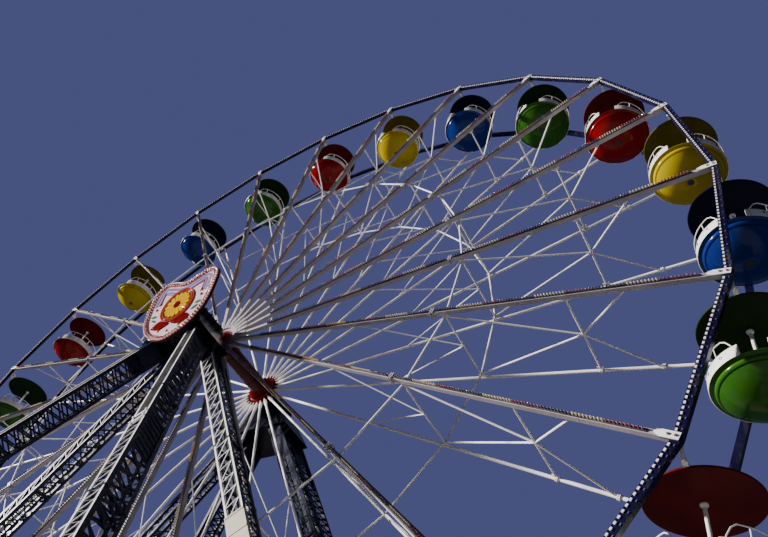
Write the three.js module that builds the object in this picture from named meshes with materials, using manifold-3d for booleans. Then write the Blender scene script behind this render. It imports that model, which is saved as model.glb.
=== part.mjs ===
// Open-frame ferris wheel: 24 round tub gondolas hang between two polygon rims, on eight lattice legs.
// Millimetres, +Z up. The origin is on the ground below the hub, and the wheel turns about an axis along Y.
// The signed front side of the wheel faces -Y.
import * as THREE from 'three';
import { mergeVertices } from 'three/addons/utils/BufferGeometryUtils.js';
import Module from 'manifold-3d';

const wasm = await Module();
wasm.setup();

// Wheel
const CABINS = 24;
const WHEEL_RADIUS = 16000; // hub axis to gondola pin
const HUB_HEIGHT = 19400;
const PLANE_OFFSET = 1275; // hub centre to the middle of each rim
const FIRST_NODE = THREE.MathUtils.degToRad(1.6); // angle of the first rim node above +X
const STEP = (2 * Math.PI) / CABINS;
const QUARTERS = 4;
const PER_QUARTER = CABINS / QUARTERS;
const GAP = 0.3; // between pieces that bear on each other
const FLATNESS = 0.25; // facets closer than this to one plane are merged

// Rims
const RIM_HEIGHT = 170;
const RIM_WIDTH = 140;

// Spokes
const SPOKE_WIDTH = 110;
const SPOKE_DEPTH = 130;
const REAR_SPOKE_RADIUS = 50;
const CHEEK_LENGTH = 300; // of the plate at a spoke's end, as far as the rim's inner edge
const CHEEK_WIDTH = 150;
const CHEEK_THICKNESS = 19;
const CHEEK_PAD_WIDTH = 80; // of the block that carries the plate on the spoke
const SPOKE_ROOT = 600; // hub axis to the foot of a spoke
const FOOT_PLATE_REACH = 680; // hub axis to the outer edge of the plate that joins six spoke feet
const FOOT_PLATE_THICKNESS = 70;
const ROUND_SIDES = 6; // of round tubes and poles

// Tie rings and cross frames between the two sides
const TIE_RADIUS = 9150; // hub axis to the tie rings and inner cross tubes
const TIE_SIZE = 70;
const OUTER_CROSS_RADIUS = 12500;
const BRACE_OUT_RADIUS = 13900; // where the outer braces reach the spokes
const CROSS_SIZE = 66;
const BRACE_SIZE = 46;

// Hub
const DRUM_RADIUS = 310;
const DRUM_OVERHANG = 150; // past the middle of each rim
const FLANGE_RADIUS = 520;
const FLANGE_THICKNESS = 90;
const COLLAR_RADIUS = 270;
const JOURNAL_RADIUS = 190;
const JOURNAL_END = 2800; // hub centre to the end of the journal
const THRUST_GAP = 0.5; // running gap between flat thrust faces

// Gondola, with drops measured down from its pins
const PIN_RADIUS = 38;
const PIN_CLEARANCE = 0.5;
const PIN_SIDES = 6;
const PIN_PROUD = 15; // how far a pin stands past the eye
const PIN_SEAT = 20; // how deep a pin is set in the rim
const EYE_SIZE = 150;
const EYE_THICKNESS = 60;
const SHELF_THICKNESS = 80;
const SHELF_REACH = 300;
const ROOF_RADIUS = 1010;
const ROOF_PEAK_DROP = 150;
const ROOF_RIM_DROP = 330;
const ROOF_THICKNESS = 60;
const TUB_RADIUS = 1000; // of the lip, which stands out over the bowl
const BOWL_RADIUS = 840;
const BOWL_TOP_DROP = 2110;
const BOWL_LOW_RADIUS = 420;
const BOWL_LOW_DROP = 2365;
const TUB_BOTTOM_DROP = 2420;
const FLOOR_RADIUS = 520;
const TUB_FLOOR = 170;
const SEAT_RADIUS = 860; // inside of the tub, a little below its lip
const SEAT_DROP = 1990;
const TUB_WALL = 60;
const LIP_DROP = 1955;
const BACKREST_HEIGHT = 300;
const BACKREST_LEAN = 40;
const DOOR_WIDTH = 500;
const DOOR_SILL = 50; // height of the door sill above the lip
const POLE_RADIUS = 60;
const POLE_FOOTING = 40; // how deep the pole is set in the floor
const CABIN_SIDES = 10;

// Bearing heads, with heights measured from the hub axis
const HEAD_INNER = 1650; // hub centre to the face next to the wheel
const HEAD_DEPTH = 1420;
const HEAD_TOP = -250;
const HEAD_BOTTOM = -1500;
const HEAD_TOP_WIDTH = 840;
const HEAD_BOTTOM_WIDTH = 2700;
const BLOCK_TOP = 300;
const BLOCK_WIDTH = 640;
const BLOCK_CHAMFER = 160;
const BLOCK_DEPTH = 1100;
const JOURNAL_CLEARANCE = 0.6;

// Legs and base
const SIDE_LEG_Y = 2000;
const SIDE_LEG_TOP_X = 805;
const SIDE_LEG_FOOT_X = 12195;
const SIDE_LEG_WIDTH = 480;
const SIDE_LEG_DEPTH = 560;
const RAKER_TOP_X = 900;
const RAKER_TOP_Y = 2675;
const RAKER_FOOT_X = 10090;
const RAKER_FOOT_Y = 7740;
const RAKER_WIDTH = 360;
const RAKER_DEPTH = 720;
const CHORD_SIZE = 100;
const FRAME_SIZE = 70; // square frames between the chords
const LEG_PANELS = 4;
const BEAM_HEIGHT = 400;
const BEAM_WIDTH = 620;
const BEAM_REACH = 13200;

// Sign, a shield that leans out at the top
const SIGN_WIDTH = 3000;
const SIGN_HUMP = 1440; // middle of the board to the top of its two humps
const SIGN_DIP = 1170;
const SIGN_POINT = 1470;
const SIGN_THICKNESS = 120;
const SIGN_Y = 3400; // hub centre to the middle of its face
const SIGN_DROP = 500;
const SIGN_LEAN = THREE.MathUtils.degToRad(8);
const BRACKET_WIDTH = 1000;
const BRACKET_TOP = -450;
const BRACKET_BOTTOM = -900;

const NAVY = 0x1c2450;
const SILVER = 0xb4b2ae;
const WHITE = 0xe9e7e2;
const RED = 0x8e1418;
const STEEL = 0x8a8d92;
const SIGN_PINK = 0xe9b9bb;
const CABIN_COLOURS = [
  { name: 'red', hex: 0xb5121a },
  { name: 'green', hex: 0x2f7d33 },
  { name: 'blue', hex: 0x1f4fa0 },
  { name: 'yellow', hex: 0xe0c41a },
];
const FIRST_COLOUR = 2; // colour of the gondola on the first node

const group = new THREE.Group();
const ACROSS = new THREE.Vector3(0, 1, 0);
const UP = new THREE.Vector3(0, 0, 1);
const RIGHT = new THREE.Vector3(1, 0, 0);
const SIDES = [
  { side: 'front', sign: -1 },
  { side: 'rear', sign: 1 },
];
const HANDS = [
  { hand: 'left', sign: -1 },
  { hand: 'right', sign: 1 },
];

// A closed geometry as a solid that can be joined and cut
function solid(geometry) {
  const bare = geometry.clone();
  for (const name of Object.keys(bare.attributes)) {
    if (name !== 'position') bare.deleteAttribute(name);
  }
  const merged = mergeVertices(bare, 1e-3);
  return new wasm.Manifold(
    new wasm.Mesh({
      numProp: 3,
      vertProperties: new Float32Array(merged.attributes.position.array),
      triVerts: new Uint32Array(merged.index.array),
    }),
  );
}

function geometryOf(body) {
  const mesh = body.getMesh();
  const geometry = new THREE.BufferGeometry();
  const points = new Float32Array(mesh.vertProperties);
  geometry.setAttribute('position', new THREE.BufferAttribute(points, 3));
  geometry.setIndex(new THREE.BufferAttribute(new Uint32Array(mesh.triVerts), 1));
  geometry.computeVertexNormals();
  return geometry;
}

// One body out of several, joined in pairs
function join(bodies) {
  let result = bodies;
  while (result.length > 1) {
    const next = [];
    for (let i = 0; i < result.length; i += 2) {
      next.push(i + 1 < result.length ? result[i].add(result[i + 1]) : result[i]);
    }
    result = next;
  }
  return tidy(result[0]);
}

const tidy = (body) => body.asOriginal().simplify(FLATNESS);

function addMesh(name, geometry, colour, metalness = 0.4, roughness = 0.45) {
  const material = new THREE.MeshStandardMaterial({ color: colour, metalness, roughness });
  const mesh = new THREE.Mesh(geometry, material);
  mesh.name = name;
  group.add(mesh);
  return mesh;
}

// A square or flat bar between two points, with its width along the given side direction
function bar(start, end, width, depth, side) {
  const along = new THREE.Vector3().subVectors(end, start);
  const geometry = new THREE.BoxGeometry(width, depth, along.length());
  along.normalize();
  const x = side.clone().addScaledVector(along, -side.dot(along)).normalize();
  const y = new THREE.Vector3().crossVectors(along, x);
  const middle = new THREE.Vector3().addVectors(start, end).multiplyScalar(0.5);
  geometry.applyMatrix4(new THREE.Matrix4().makeBasis(x, y, along).setPosition(middle));
  return solid(geometry);
}

// A round bar between two points, with its first edge towards the given side
function rod(start, end, radius, sides, side) {
  const along = new THREE.Vector3().subVectors(end, start);
  const geometry = new THREE.CylinderGeometry(radius, radius, along.length(), sides);
  along.normalize();
  const x = new THREE.Vector3().crossVectors(along, side);
  const middle = new THREE.Vector3().addVectors(start, end).multiplyScalar(0.5);
  geometry.applyMatrix4(new THREE.Matrix4().makeBasis(x, along, side).setPosition(middle));
  return solid(geometry);
}

// A body turned about the Y axis from a closed outline of (radius, y) points
function turned(outline, sides, phase = 0) {
  const closed = [...outline, outline[0]].map(([r, y]) => new THREE.Vector2(r, y));
  const geometry = new THREE.LatheGeometry(closed, sides, phase, 2 * Math.PI);
  const body = solid(geometry);
  return body.volume() < 0 ? turned(outline.toReversed(), sides, phase) : body;
}

// A plate with its outline drawn in the X-Z plane, from nearY to nearY + thickness
function plate(outline, nearY, thickness) {
  const shape = new THREE.Shape(outline.map(([x, z]) => new THREE.Vector2(x, z)));
  const geometry = new THREE.ExtrudeGeometry(shape, { depth: thickness, bevelEnabled: false });
  geometry.rotateX(Math.PI / 2);
  geometry.translate(0, nearY + thickness, 0);
  return geometry;
}

// A plate with its outline drawn in the Y-Z plane, of a width centred on X = 0
function uprightPlate(outline, width) {
  const shape = new THREE.Shape(outline.map(([y, z]) => new THREE.Vector2(y, z)));
  const geometry = new THREE.ExtrudeGeometry(shape, { depth: width, bevelEnabled: false });
  geometry.translate(0, 0, -width / 2);
  geometry.applyMatrix4(new THREE.Matrix4().makeBasis(ACROSS, UP, RIGHT));
  return geometry;
}

const nodeAngle = (k) => FIRST_NODE + k * STEP;
const tangent = (angle) => new THREE.Vector3(-Math.sin(angle), 0, Math.cos(angle));

// A point of the wheel at an angle, a distance from the hub axis and a depth
function wheelPoint(angle, radius, y) {
  const x = radius * Math.cos(angle);
  const z = radius * Math.sin(angle) + HUB_HEIGHT;
  return new THREE.Vector3(x, y, z);
}

// Turned outlines start at +Z and run towards +X, so this phase puts a corner on the first node
const CORNER_ON_NODE = Math.PI / 2 - FIRST_NODE;
const aboutHub = (outline) => turned(outline, CABINS, CORNER_ON_NODE).translate([0, 0, HUB_HEIGHT]);

// Polygon rims, each with a pin for every gondola
for (const { side, sign } of SIDES) {
  const y = sign * PLANE_OFFSET;
  const inner = WHEEL_RADIUS - RIM_HEIGHT / 2;
  const outer = WHEEL_RADIUS + RIM_HEIGHT / 2;
  const half = RIM_WIDTH / 2;
  const ring = aboutHub([
    [inner, y - half],
    [outer, y - half],
    [outer, y + half],
    [inner, y + half],
  ]);
  const bodies = [ring];
  const pinStart = y - sign * (half - PIN_SEAT);
  const pinEnd = y - sign * (half + THRUST_GAP + EYE_THICKNESS + PIN_PROUD);
  for (let k = 0; k < CABINS; k += 1) {
    const angle = nodeAngle(k);
    const pinFoot = wheelPoint(angle, WHEEL_RADIUS, pinStart);
    const pinTip = wheelPoint(angle, WHEEL_RADIUS, pinEnd);
    bodies.push(rod(pinFoot, pinTip, PIN_RADIUS, PIN_SIDES, tangent(angle)));
  }
  addMesh(`${side}_rim`, geometryOf(join(bodies)), NAVY);
}

// Arc-shaped plate round the hub flange that joins the feet of one quarter's spokes
function footPlate(firstNode, y) {
  const inner = FLANGE_RADIUS + GAP;
  const trim = GAP / inner;
  const angles = [nodeAngle(firstNode) - STEP / 2 + trim];
  for (let i = 0; i < PER_QUARTER; i += 1) {
    angles.push(nodeAngle(firstNode + i));
  }
  angles.push(nodeAngle(firstNode + PER_QUARTER - 1) + STEP / 2 - trim);
  // Both ends lie in the middle of a side of the 24-sided ring, where it is closer to the hub
  const point = (angle, radius, i) => {
    const isEnd = i === 0 || i === angles.length - 1;
    const reach = isEnd ? radius * Math.cos(STEP / 2) : radius;
    return [reach * Math.cos(angle), reach * Math.sin(angle)];
  };
  const outside = angles.map((angle, i) => point(angle, FOOT_PLATE_REACH, i));
  const inside = angles.map((angle, i) => point(angle, inner, i)).reverse();
  const geometry = plate([...outside, ...inside], y - FOOT_PLATE_THICKNESS / 2, FOOT_PLATE_THICKNESS);
  return solid(geometry).translate([0, 0, HUB_HEIGHT]);
}

// Cheek plate that laps over the rim's outer face from a spoke's end, on a block that stands on the spoke
function cheek(angle, sign) {
  const side = tangent(angle);
  const foot = WHEEL_RADIUS - RIM_HEIGHT / 2 - CHEEK_LENGTH;
  const plateY = sign * (PLANE_OFFSET + RIM_WIDTH / 2 + GAP + CHEEK_THICKNESS / 2);
  const plateFoot = wheelPoint(angle, foot, plateY);
  const plateTip = wheelPoint(angle, WHEEL_RADIUS + RIM_HEIGHT / 4, plateY);
  const depth = Math.abs(plateY) - PLANE_OFFSET;
  const padY = sign * (PLANE_OFFSET + depth / 2);
  const padFoot = wheelPoint(angle, foot + CHEEK_WIDTH / 4, padY);
  const padTip = wheelPoint(angle, spokeTip(SPOKE_WIDTH), padY);
  return [
    bar(plateFoot, plateTip, CHEEK_WIDTH, CHEEK_THICKNESS, side),
    bar(padFoot, padTip, CHEEK_PAD_WIDTH, depth, side),
  ];
}

// Spokes in quarters: rectangular tubes in front, round tubes at the rear
const spokeTip = (halfWidth) => WHEEL_RADIUS - RIM_HEIGHT / 2 - halfWidth * Math.tan(STEP / 2) - GAP;
for (let q = 0; q < QUARTERS; q += 1) {
  const front = [footPlate(q * PER_QUARTER, -PLANE_OFFSET)];
  const rear = [footPlate(q * PER_QUARTER, PLANE_OFFSET)];
  for (let i = 0; i < PER_QUARTER; i += 1) {
    const angle = nodeAngle(q * PER_QUARTER + i);
    const side = tangent(angle);
    const frontRoot = wheelPoint(angle, SPOKE_ROOT, -PLANE_OFFSET);
    const frontTip = wheelPoint(angle, spokeTip(SPOKE_WIDTH / 2), -PLANE_OFFSET);
    front.push(bar(frontRoot, frontTip, SPOKE_WIDTH, SPOKE_DEPTH, side), ...cheek(angle, -1));
    const rearRoot = wheelPoint(angle, SPOKE_ROOT, PLANE_OFFSET);
    const rearTip = wheelPoint(angle, spokeTip(REAR_SPOKE_RADIUS), PLANE_OFFSET);
    rear.push(rod(rearRoot, rearTip, REAR_SPOKE_RADIUS, ROUND_SIDES, side), ...cheek(angle, 1));
  }
  addMesh(`front_spokes_quarter_${q + 1}`, geometryOf(join(front)), SILVER, 0.6, 0.4);
  addMesh(`rear_spokes_quarter_${q + 1}`, geometryOf(join(rear)), WHITE);
}

// Cross frames in quarters. Each lies in the plane of a front and a rear spoke and bears on their inner faces:
// two cross tubes, and braces that fan out from the middle of the outer one. The tie rings join them.
const FRONT_FACE = -PLANE_OFFSET + SPOKE_DEPTH / 2 + GAP;
const REAR_FACE = PLANE_OFFSET - REAR_SPOKE_RADIUS * Math.cos(Math.PI / ROUND_SIDES) - GAP;
for (let q = 0; q < QUARTERS; q += 1) {
  const bodies = [];
  for (let i = 0; i < PER_QUARTER; i += 1) {
    const k = q * PER_QUARTER + i;
    const angle = nodeAngle(k);
    const side = tangent(angle);
    for (const radius of [TIE_RADIUS, OUTER_CROSS_RADIUS]) {
      const start = wheelPoint(angle, radius, -PLANE_OFFSET);
      const end = wheelPoint(angle, radius, PLANE_OFFSET);
      bodies.push(bar(start, end, CROSS_SIZE, CROSS_SIZE, side));
    }
    // Inner braces end on the tie rings, and outer ones on the spokes
    const middle = wheelPoint(angle, OUTER_CROSS_RADIUS, 0);
    for (const sign of [-1, 1]) {
      const tie = wheelPoint(angle, TIE_RADIUS, sign * (PLANE_OFFSET - RIM_WIDTH));
      const spoke = wheelPoint(angle, BRACE_OUT_RADIUS, sign * PLANE_OFFSET);
      bodies.push(bar(middle, tie, BRACE_SIZE, BRACE_SIZE, side));
      bodies.push(bar(middle, spoke, BRACE_SIZE, BRACE_SIZE, side));
    }
    for (const y of [FRONT_FACE + TIE_SIZE / 2, REAR_FACE - TIE_SIZE / 2]) {
      const start = wheelPoint(angle, TIE_RADIUS, y);
      const end = wheelPoint(nodeAngle(k + 1), TIE_RADIUS, y);
      const run = new THREE.Vector3().subVectors(end, start);
      let length = run.length();
      run.normalize();
      // The last bar of a quarter stops short of the next quarter's first frame
      if (i === PER_QUARTER - 1) {
        const corner = (TIE_SIZE / 2) * Math.tan(STEP / 2);
        length -= (CROSS_SIZE / 2 + corner + 2 * GAP) / Math.cos(STEP / 2);
      }
      bodies.push(bar(start, start.clone().addScaledVector(run, length), TIE_SIZE, TIE_SIZE, ACROSS));
    }
  }
  const reach = 3 * WHEEL_RADIUS;
  const between = new THREE.BoxGeometry(reach, REAR_FACE - FRONT_FACE, reach);
  between.translate(0, (REAR_FACE + FRONT_FACE) / 2, HUB_HEIGHT);
  const frames = tidy(join(bodies).intersect(solid(between)));
  addMesh(`cross_frames_quarter_${q + 1}`, geometryOf(frames), WHITE);
}

// Hub: drum with a flange for each set of spoke feet, thrust collars and journals
const drumEnd = PLANE_OFFSET + DRUM_OVERHANG;
const collarEnd = HEAD_INNER - THRUST_GAP;
const halfHub = [
  [JOURNAL_RADIUS, JOURNAL_END],
  [JOURNAL_RADIUS, collarEnd],
  [COLLAR_RADIUS, collarEnd],
  [COLLAR_RADIUS, drumEnd],
  [DRUM_RADIUS, drumEnd],
  [DRUM_RADIUS, PLANE_OFFSET + FLANGE_THICKNESS / 2],
  [FLANGE_RADIUS, PLANE_OFFSET + FLANGE_THICKNESS / 2],
  [FLANGE_RADIUS, PLANE_OFFSET - FLANGE_THICKNESS / 2],
  [DRUM_RADIUS, PLANE_OFFSET - FLANGE_THICKNESS / 2],
];
const hub = aboutHub([
  [0, -JOURNAL_END],
  ...halfHub.map(([r, y]) => [r, -y]),
  ...halfHub.toReversed(),
  [0, JOURNAL_END],
]);
addMesh('hub', geometryOf(hub), RED, 0.3, 0.4);

// One gondola with its pin line on the origin: tub with backrest, centre pole, roof disc and two hanger arms
function gondola() {
  const floor = -TUB_BOTTOM_DROP + TUB_FLOOR;
  const top = -LIP_DROP + BACKREST_HEIGHT;
  const tub = turned(
    [
      [0, -TUB_BOTTOM_DROP],
      [BOWL_LOW_RADIUS, -BOWL_LOW_DROP],
      [BOWL_RADIUS, -BOWL_TOP_DROP],
      [TUB_RADIUS, -LIP_DROP],
      [TUB_RADIUS - BACKREST_LEAN, top],
      [TUB_RADIUS - BACKREST_LEAN - TUB_WALL, top],
      [SEAT_RADIUS, -SEAT_DROP],
      [FLOOR_RADIUS, floor],
      [0, floor],
    ],
    CABIN_SIDES,
  );
  const roof = turned(
    [
      [0, -ROOF_PEAK_DROP],
      [ROOF_RADIUS, -ROOF_RIM_DROP],
      [ROOF_RADIUS, -ROOF_RIM_DROP - ROOF_THICKNESS],
      [0, -ROOF_RIM_DROP - ROOF_THICKNESS],
    ],
    CABIN_SIDES,
  );
  // The turned shapes stand on the Y axis, so they are tipped up to stand on Z
  const upright = (body) => body.rotate([90, 0, 0]);
  const doors = new THREE.BoxGeometry(DOOR_WIDTH, 3 * TUB_RADIUS, BACKREST_HEIGHT);
  doors.translate(0, 0, -LIP_DROP + DOOR_SILL + BACKREST_HEIGHT / 2);
  const poleLow = new THREE.Vector3(0, 0, floor - POLE_FOOTING);
  const poleTop = new THREE.Vector3(0, 0, -ROOF_RIM_DROP - ROOF_THICKNESS / 2);
  const pole = rod(poleLow, poleTop, POLE_RADIUS, ROUND_SIDES, ACROSS);
  const bodies = [upright(tub).subtract(solid(doors)), upright(roof), pole];
  const eyeOut = PLANE_OFFSET - RIM_WIDTH / 2 - THRUST_GAP;
  const shelfTop = -ROOF_RIM_DROP + SHELF_THICKNESS / 2;
  for (const { sign } of SIDES) {
    // Angle of a shelf on the roof and an arm up to the pin
    const arm = [
      [eyeOut, EYE_SIZE / 2],
      [eyeOut, shelfTop - SHELF_THICKNESS],
      [ROOF_RADIUS - SHELF_REACH, shelfTop - SHELF_THICKNESS],
      [ROOF_RADIUS - SHELF_REACH, shelfTop],
      [eyeOut - EYE_THICKNESS, shelfTop],
      [eyeOut - EYE_THICKNESS, EYE_SIZE / 2],
    ];
    bodies.push(solid(uprightPlate(arm.map(([y, z]) => [sign * y, z]), EYE_SIZE)));
  }
  const holeRadius = (PIN_RADIUS + PIN_CLEARANCE) / Math.cos(Math.PI / PIN_SIDES);
  const hole = new THREE.CylinderGeometry(holeRadius, holeRadius, 3 * PLANE_OFFSET, PIN_SIDES);
  return geometryOf(join(bodies).subtract(solid(hole)));
}

const gondolaGeometry = gondola();
for (let k = 0; k < CABINS; k += 1) {
  const colour = CABIN_COLOURS[(k + FIRST_COLOUR) % CABIN_COLOURS.length];
  const number = String(k + 1).padStart(2, '0');
  const mesh = addMesh(`gondola_${number}_${colour.name}`, gondolaGeometry, colour.hex, 0.1, 0.3);
  mesh.position.copy(wheelPoint(nodeAngle(k), WHEEL_RADIUS, 0));
}

// A lattice leg of four chords tied by square frames, cut level at its head and foot
function leg(head, foot, width, depth) {
  const overrun = 0.05; // share of the length that the chords run past each end before the cut
  const endInset = 0.025; // share of the length from an end to its nearest frame
  const along = new THREE.Vector3().subVectors(foot, head).normalize();
  const face = new THREE.Vector3(0, -along.z, along.y).normalize();
  const side = new THREE.Vector3().crossVectors(along, face).normalize();
  const corner = (t, a, b) =>
    new THREE.Vector3()
      .lerpVectors(head, foot, t)
      .addScaledVector(side, (a * (width - CHORD_SIZE)) / 2)
      .addScaledVector(face, (b * (depth - CHORD_SIZE)) / 2);
  const bodies = [];
  for (const a of [-1, 1]) {
    for (const b of [-1, 1]) {
      const start = corner(-overrun, a, b);
      bodies.push(bar(start, corner(1 + overrun, a, b), CHORD_SIZE, CHORD_SIZE, side));
    }
  }
  for (let i = 0; i <= LEG_PANELS; i += 1) {
    const t = endInset + ((1 - 2 * endInset) * i) / LEG_PANELS;
    for (const s of [-1, 1]) {
      bodies.push(bar(corner(t, -1, s), corner(t, 1, s), FRAME_SIZE, FRAME_SIZE, face));
      bodies.push(bar(corner(t, s, -1), corner(t, s, 1), FRAME_SIZE, FRAME_SIZE, side));
    }
  }
  const reach = 4 * WHEEL_RADIUS;
  const between = new THREE.BoxGeometry(reach, reach, head.z - foot.z - 2 * GAP);
  between.translate(0, 0, (head.z + foot.z) / 2);
  return geometryOf(tidy(join(bodies).intersect(solid(between))));
}

// Support on each side of the wheel
const legHead = HUB_HEIGHT + HEAD_BOTTOM;
for (const { side, sign } of SIDES) {
  // Bearing head: an A-shaped box on the leg heads with the bearing block on top
  const nearY = (depth) => (sign < 0 ? -HEAD_INNER - depth : HEAD_INNER);
  const box = plate(
    [
      [HEAD_TOP_WIDTH / 2, HEAD_TOP],
      [-HEAD_TOP_WIDTH / 2, HEAD_TOP],
      [-HEAD_BOTTOM_WIDTH / 2, HEAD_BOTTOM],
      [HEAD_BOTTOM_WIDTH / 2, HEAD_BOTTOM],
    ],
    nearY(HEAD_DEPTH),
    HEAD_DEPTH,
  );
  const block = plate(
    [
      [BLOCK_WIDTH / 2, HEAD_TOP],
      [BLOCK_WIDTH / 2, BLOCK_TOP - BLOCK_CHAMFER],
      [BLOCK_WIDTH / 2 - BLOCK_CHAMFER, BLOCK_TOP],
      [BLOCK_CHAMFER - BLOCK_WIDTH / 2, BLOCK_TOP],
      [-BLOCK_WIDTH / 2, BLOCK_TOP - BLOCK_CHAMFER],
      [-BLOCK_WIDTH / 2, HEAD_TOP],
    ],
    nearY(BLOCK_DEPTH),
    BLOCK_DEPTH,
  );
  const boreRadius = (JOURNAL_RADIUS + JOURNAL_CLEARANCE) / Math.cos(Math.PI / CABINS);
  const bore = new THREE.CylinderGeometry(boreRadius, boreRadius, 4 * JOURNAL_END, CABINS);
  const head = join([solid(box), solid(block)]).subtract(solid(bore)).translate([0, 0, HUB_HEIGHT]);
  addMesh(`${side}_bearing_head`, geometryOf(head), NAVY);

  const beam = new THREE.BoxGeometry(2 * BEAM_REACH, BEAM_WIDTH, BEAM_HEIGHT);
  beam.translate(0, sign * SIDE_LEG_Y, BEAM_HEIGHT / 2);
  addMesh(`${side}_ground_beam`, beam, NAVY);

  // Side legs stand in the plane of the wheel's side, and rakers lean out in front of them
  for (const { hand, sign: x } of HANDS) {
    const sideHead = new THREE.Vector3(x * SIDE_LEG_TOP_X, sign * SIDE_LEG_Y, legHead);
    const sideFoot = new THREE.Vector3(x * SIDE_LEG_FOOT_X, sign * SIDE_LEG_Y, BEAM_HEIGHT);
    addMesh(`${side}_${hand}_leg`, leg(sideHead, sideFoot, SIDE_LEG_WIDTH, SIDE_LEG_DEPTH), NAVY);
    const rakerHead = new THREE.Vector3(x * RAKER_TOP_X, sign * RAKER_TOP_Y, legHead);
    const rakerFoot = new THREE.Vector3(x * RAKER_FOOT_X, sign * RAKER_FOOT_Y, BEAM_HEIGHT);
    addMesh(`${side}_${hand}_raker`, leg(rakerHead, rakerFoot, RAKER_WIDTH, RAKER_DEPTH), NAVY);
    // Outrigger from the ground beam to under the raker's foot
    const start = SIDE_LEG_Y + BEAM_WIDTH / 2 + GAP;
    const end = RAKER_FOOT_Y + RAKER_DEPTH;
    const outrigger = new THREE.BoxGeometry(BEAM_WIDTH, end - start, BEAM_HEIGHT);
    outrigger.translate(x * RAKER_FOOT_X, (sign * (end + start)) / 2, BEAM_HEIGHT / 2);
    addMesh(`${side}_${hand}_outrigger`, outrigger, NAVY);
  }
}

// Ties under the wheel join the front and rear ground beams
for (const { hand, sign } of HANDS) {
  const length = 2 * (SIDE_LEG_Y - BEAM_WIDTH / 2 - GAP);
  const tie = new THREE.BoxGeometry(BEAM_WIDTH, length, BEAM_HEIGHT);
  tie.translate(sign * SIDE_LEG_FOOT_X, 0, BEAM_HEIGHT / 2);
  addMesh(`${hand}_ground_tie`, tie, NAVY);
}

// Hub sign: a shield with two humps and a low point, on a bracket in front of the front bearing head
const halfSign = [
  [0, SIGN_DIP],
  [0.17 * SIGN_WIDTH, 0.92 * SIGN_HUMP],
  [0.31 * SIGN_WIDTH, SIGN_HUMP],
  [0.42 * SIGN_WIDTH, 0.93 * SIGN_HUMP],
  [0.485 * SIGN_WIDTH, 0.76 * SIGN_HUMP],
  [0.5 * SIGN_WIDTH, 0.45 * SIGN_HUMP],
  [0.49 * SIGN_WIDTH, 0],
  [0.45 * SIGN_WIDTH, -0.33 * SIGN_POINT],
  [0.34 * SIGN_WIDTH, -0.68 * SIGN_POINT],
  [0.17 * SIGN_WIDTH, -0.9 * SIGN_POINT],
  [0, -SIGN_POINT],
];
const otherHalf = halfSign.slice(1, -1).reverse().map(([x, z]) => [-x, z]);
const board = plate([...halfSign, ...otherHalf], 0, SIGN_THICKNESS);
board.rotateX(SIGN_LEAN);
board.translate(0, -SIGN_Y, HUB_HEIGHT - SIGN_DROP);
addMesh('hub_sign', board, SIGN_PINK, 0.1, 0.5);

// The bracket's front edge follows the leaning back of the board
const backOfSign = (z) =>
  -SIGN_Y + (SIGN_THICKNESS + GAP) / Math.cos(SIGN_LEAN) - (z + SIGN_DROP) * Math.tan(SIGN_LEAN);
const headFace = -HEAD_INNER - HEAD_DEPTH - GAP;
const bracket = uprightPlate(
  [
    [headFace, BRACKET_BOTTOM],
    [headFace, BRACKET_TOP],
    [backOfSign(BRACKET_TOP), BRACKET_TOP],
    [backOfSign(BRACKET_BOTTOM), BRACKET_BOTTOM],
  ],
  BRACKET_WIDTH,
);
bracket.translate(0, 0, HUB_HEIGHT);
addMesh('sign_bracket', bracket, STEEL, 0.5, 0.5);

export default group;
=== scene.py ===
import math

import bpy
import numpy as np
from mathutils import Matrix, Vector


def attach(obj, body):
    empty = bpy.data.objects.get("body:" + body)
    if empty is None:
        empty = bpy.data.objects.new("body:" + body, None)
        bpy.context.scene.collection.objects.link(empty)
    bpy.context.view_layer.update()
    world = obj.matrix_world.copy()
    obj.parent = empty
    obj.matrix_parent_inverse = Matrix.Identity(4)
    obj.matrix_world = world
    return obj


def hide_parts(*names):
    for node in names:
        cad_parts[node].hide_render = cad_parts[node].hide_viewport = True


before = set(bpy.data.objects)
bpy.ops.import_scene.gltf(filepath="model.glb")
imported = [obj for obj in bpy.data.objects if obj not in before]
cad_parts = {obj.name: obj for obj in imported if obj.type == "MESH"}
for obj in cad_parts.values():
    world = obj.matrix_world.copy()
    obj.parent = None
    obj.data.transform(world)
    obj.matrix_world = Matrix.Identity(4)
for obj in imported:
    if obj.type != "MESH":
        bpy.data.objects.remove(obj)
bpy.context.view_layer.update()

# Camera
# It stands low in front of the wheel's right-hand side and looks up past the hub, tipped over to its left.
# A pinhole camera fitted to the rim's nodes in the photograph gave its place, aim, roll and lens.
CAMERA_PLACE = Vector((15.812, -11.243, 3.263))
CAMERA_AIM = Vector((5.055, -1.275, 20.777))
CAMERA_ROLL = math.radians(20.15)
PHOTO_WIDTH = 768
PHOTO_HEIGHT = 537
FOCAL_LENGTH = 695.5  # in pixels of the photograph
OPTICAL_CENTRE = (350.8, 275.0)
SENSOR_WIDTH = 36.0

lens = bpy.data.cameras.new("camera")
lens.sensor_width = SENSOR_WIDTH
lens.lens = FOCAL_LENGTH * SENSOR_WIDTH / PHOTO_WIDTH
lens.shift_x = (PHOTO_WIDTH / 2 - OPTICAL_CENTRE[0]) / PHOTO_WIDTH
lens.shift_y = (OPTICAL_CENTRE[1] - PHOTO_HEIGHT / 2) / PHOTO_WIDTH
lens.clip_end = 500
camera = bpy.data.objects.new("camera", lens)
bpy.context.scene.collection.objects.link(camera)
look = (CAMERA_AIM - CAMERA_PLACE).to_track_quat("-Z", "Y").to_matrix()
tipped = look @ Matrix.Rotation(CAMERA_ROLL, 3, "Z")
camera.matrix_world = Matrix.Translation(CAMERA_PLACE) @ tipped.to_4x4()
bpy.context.scene.camera = camera

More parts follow.
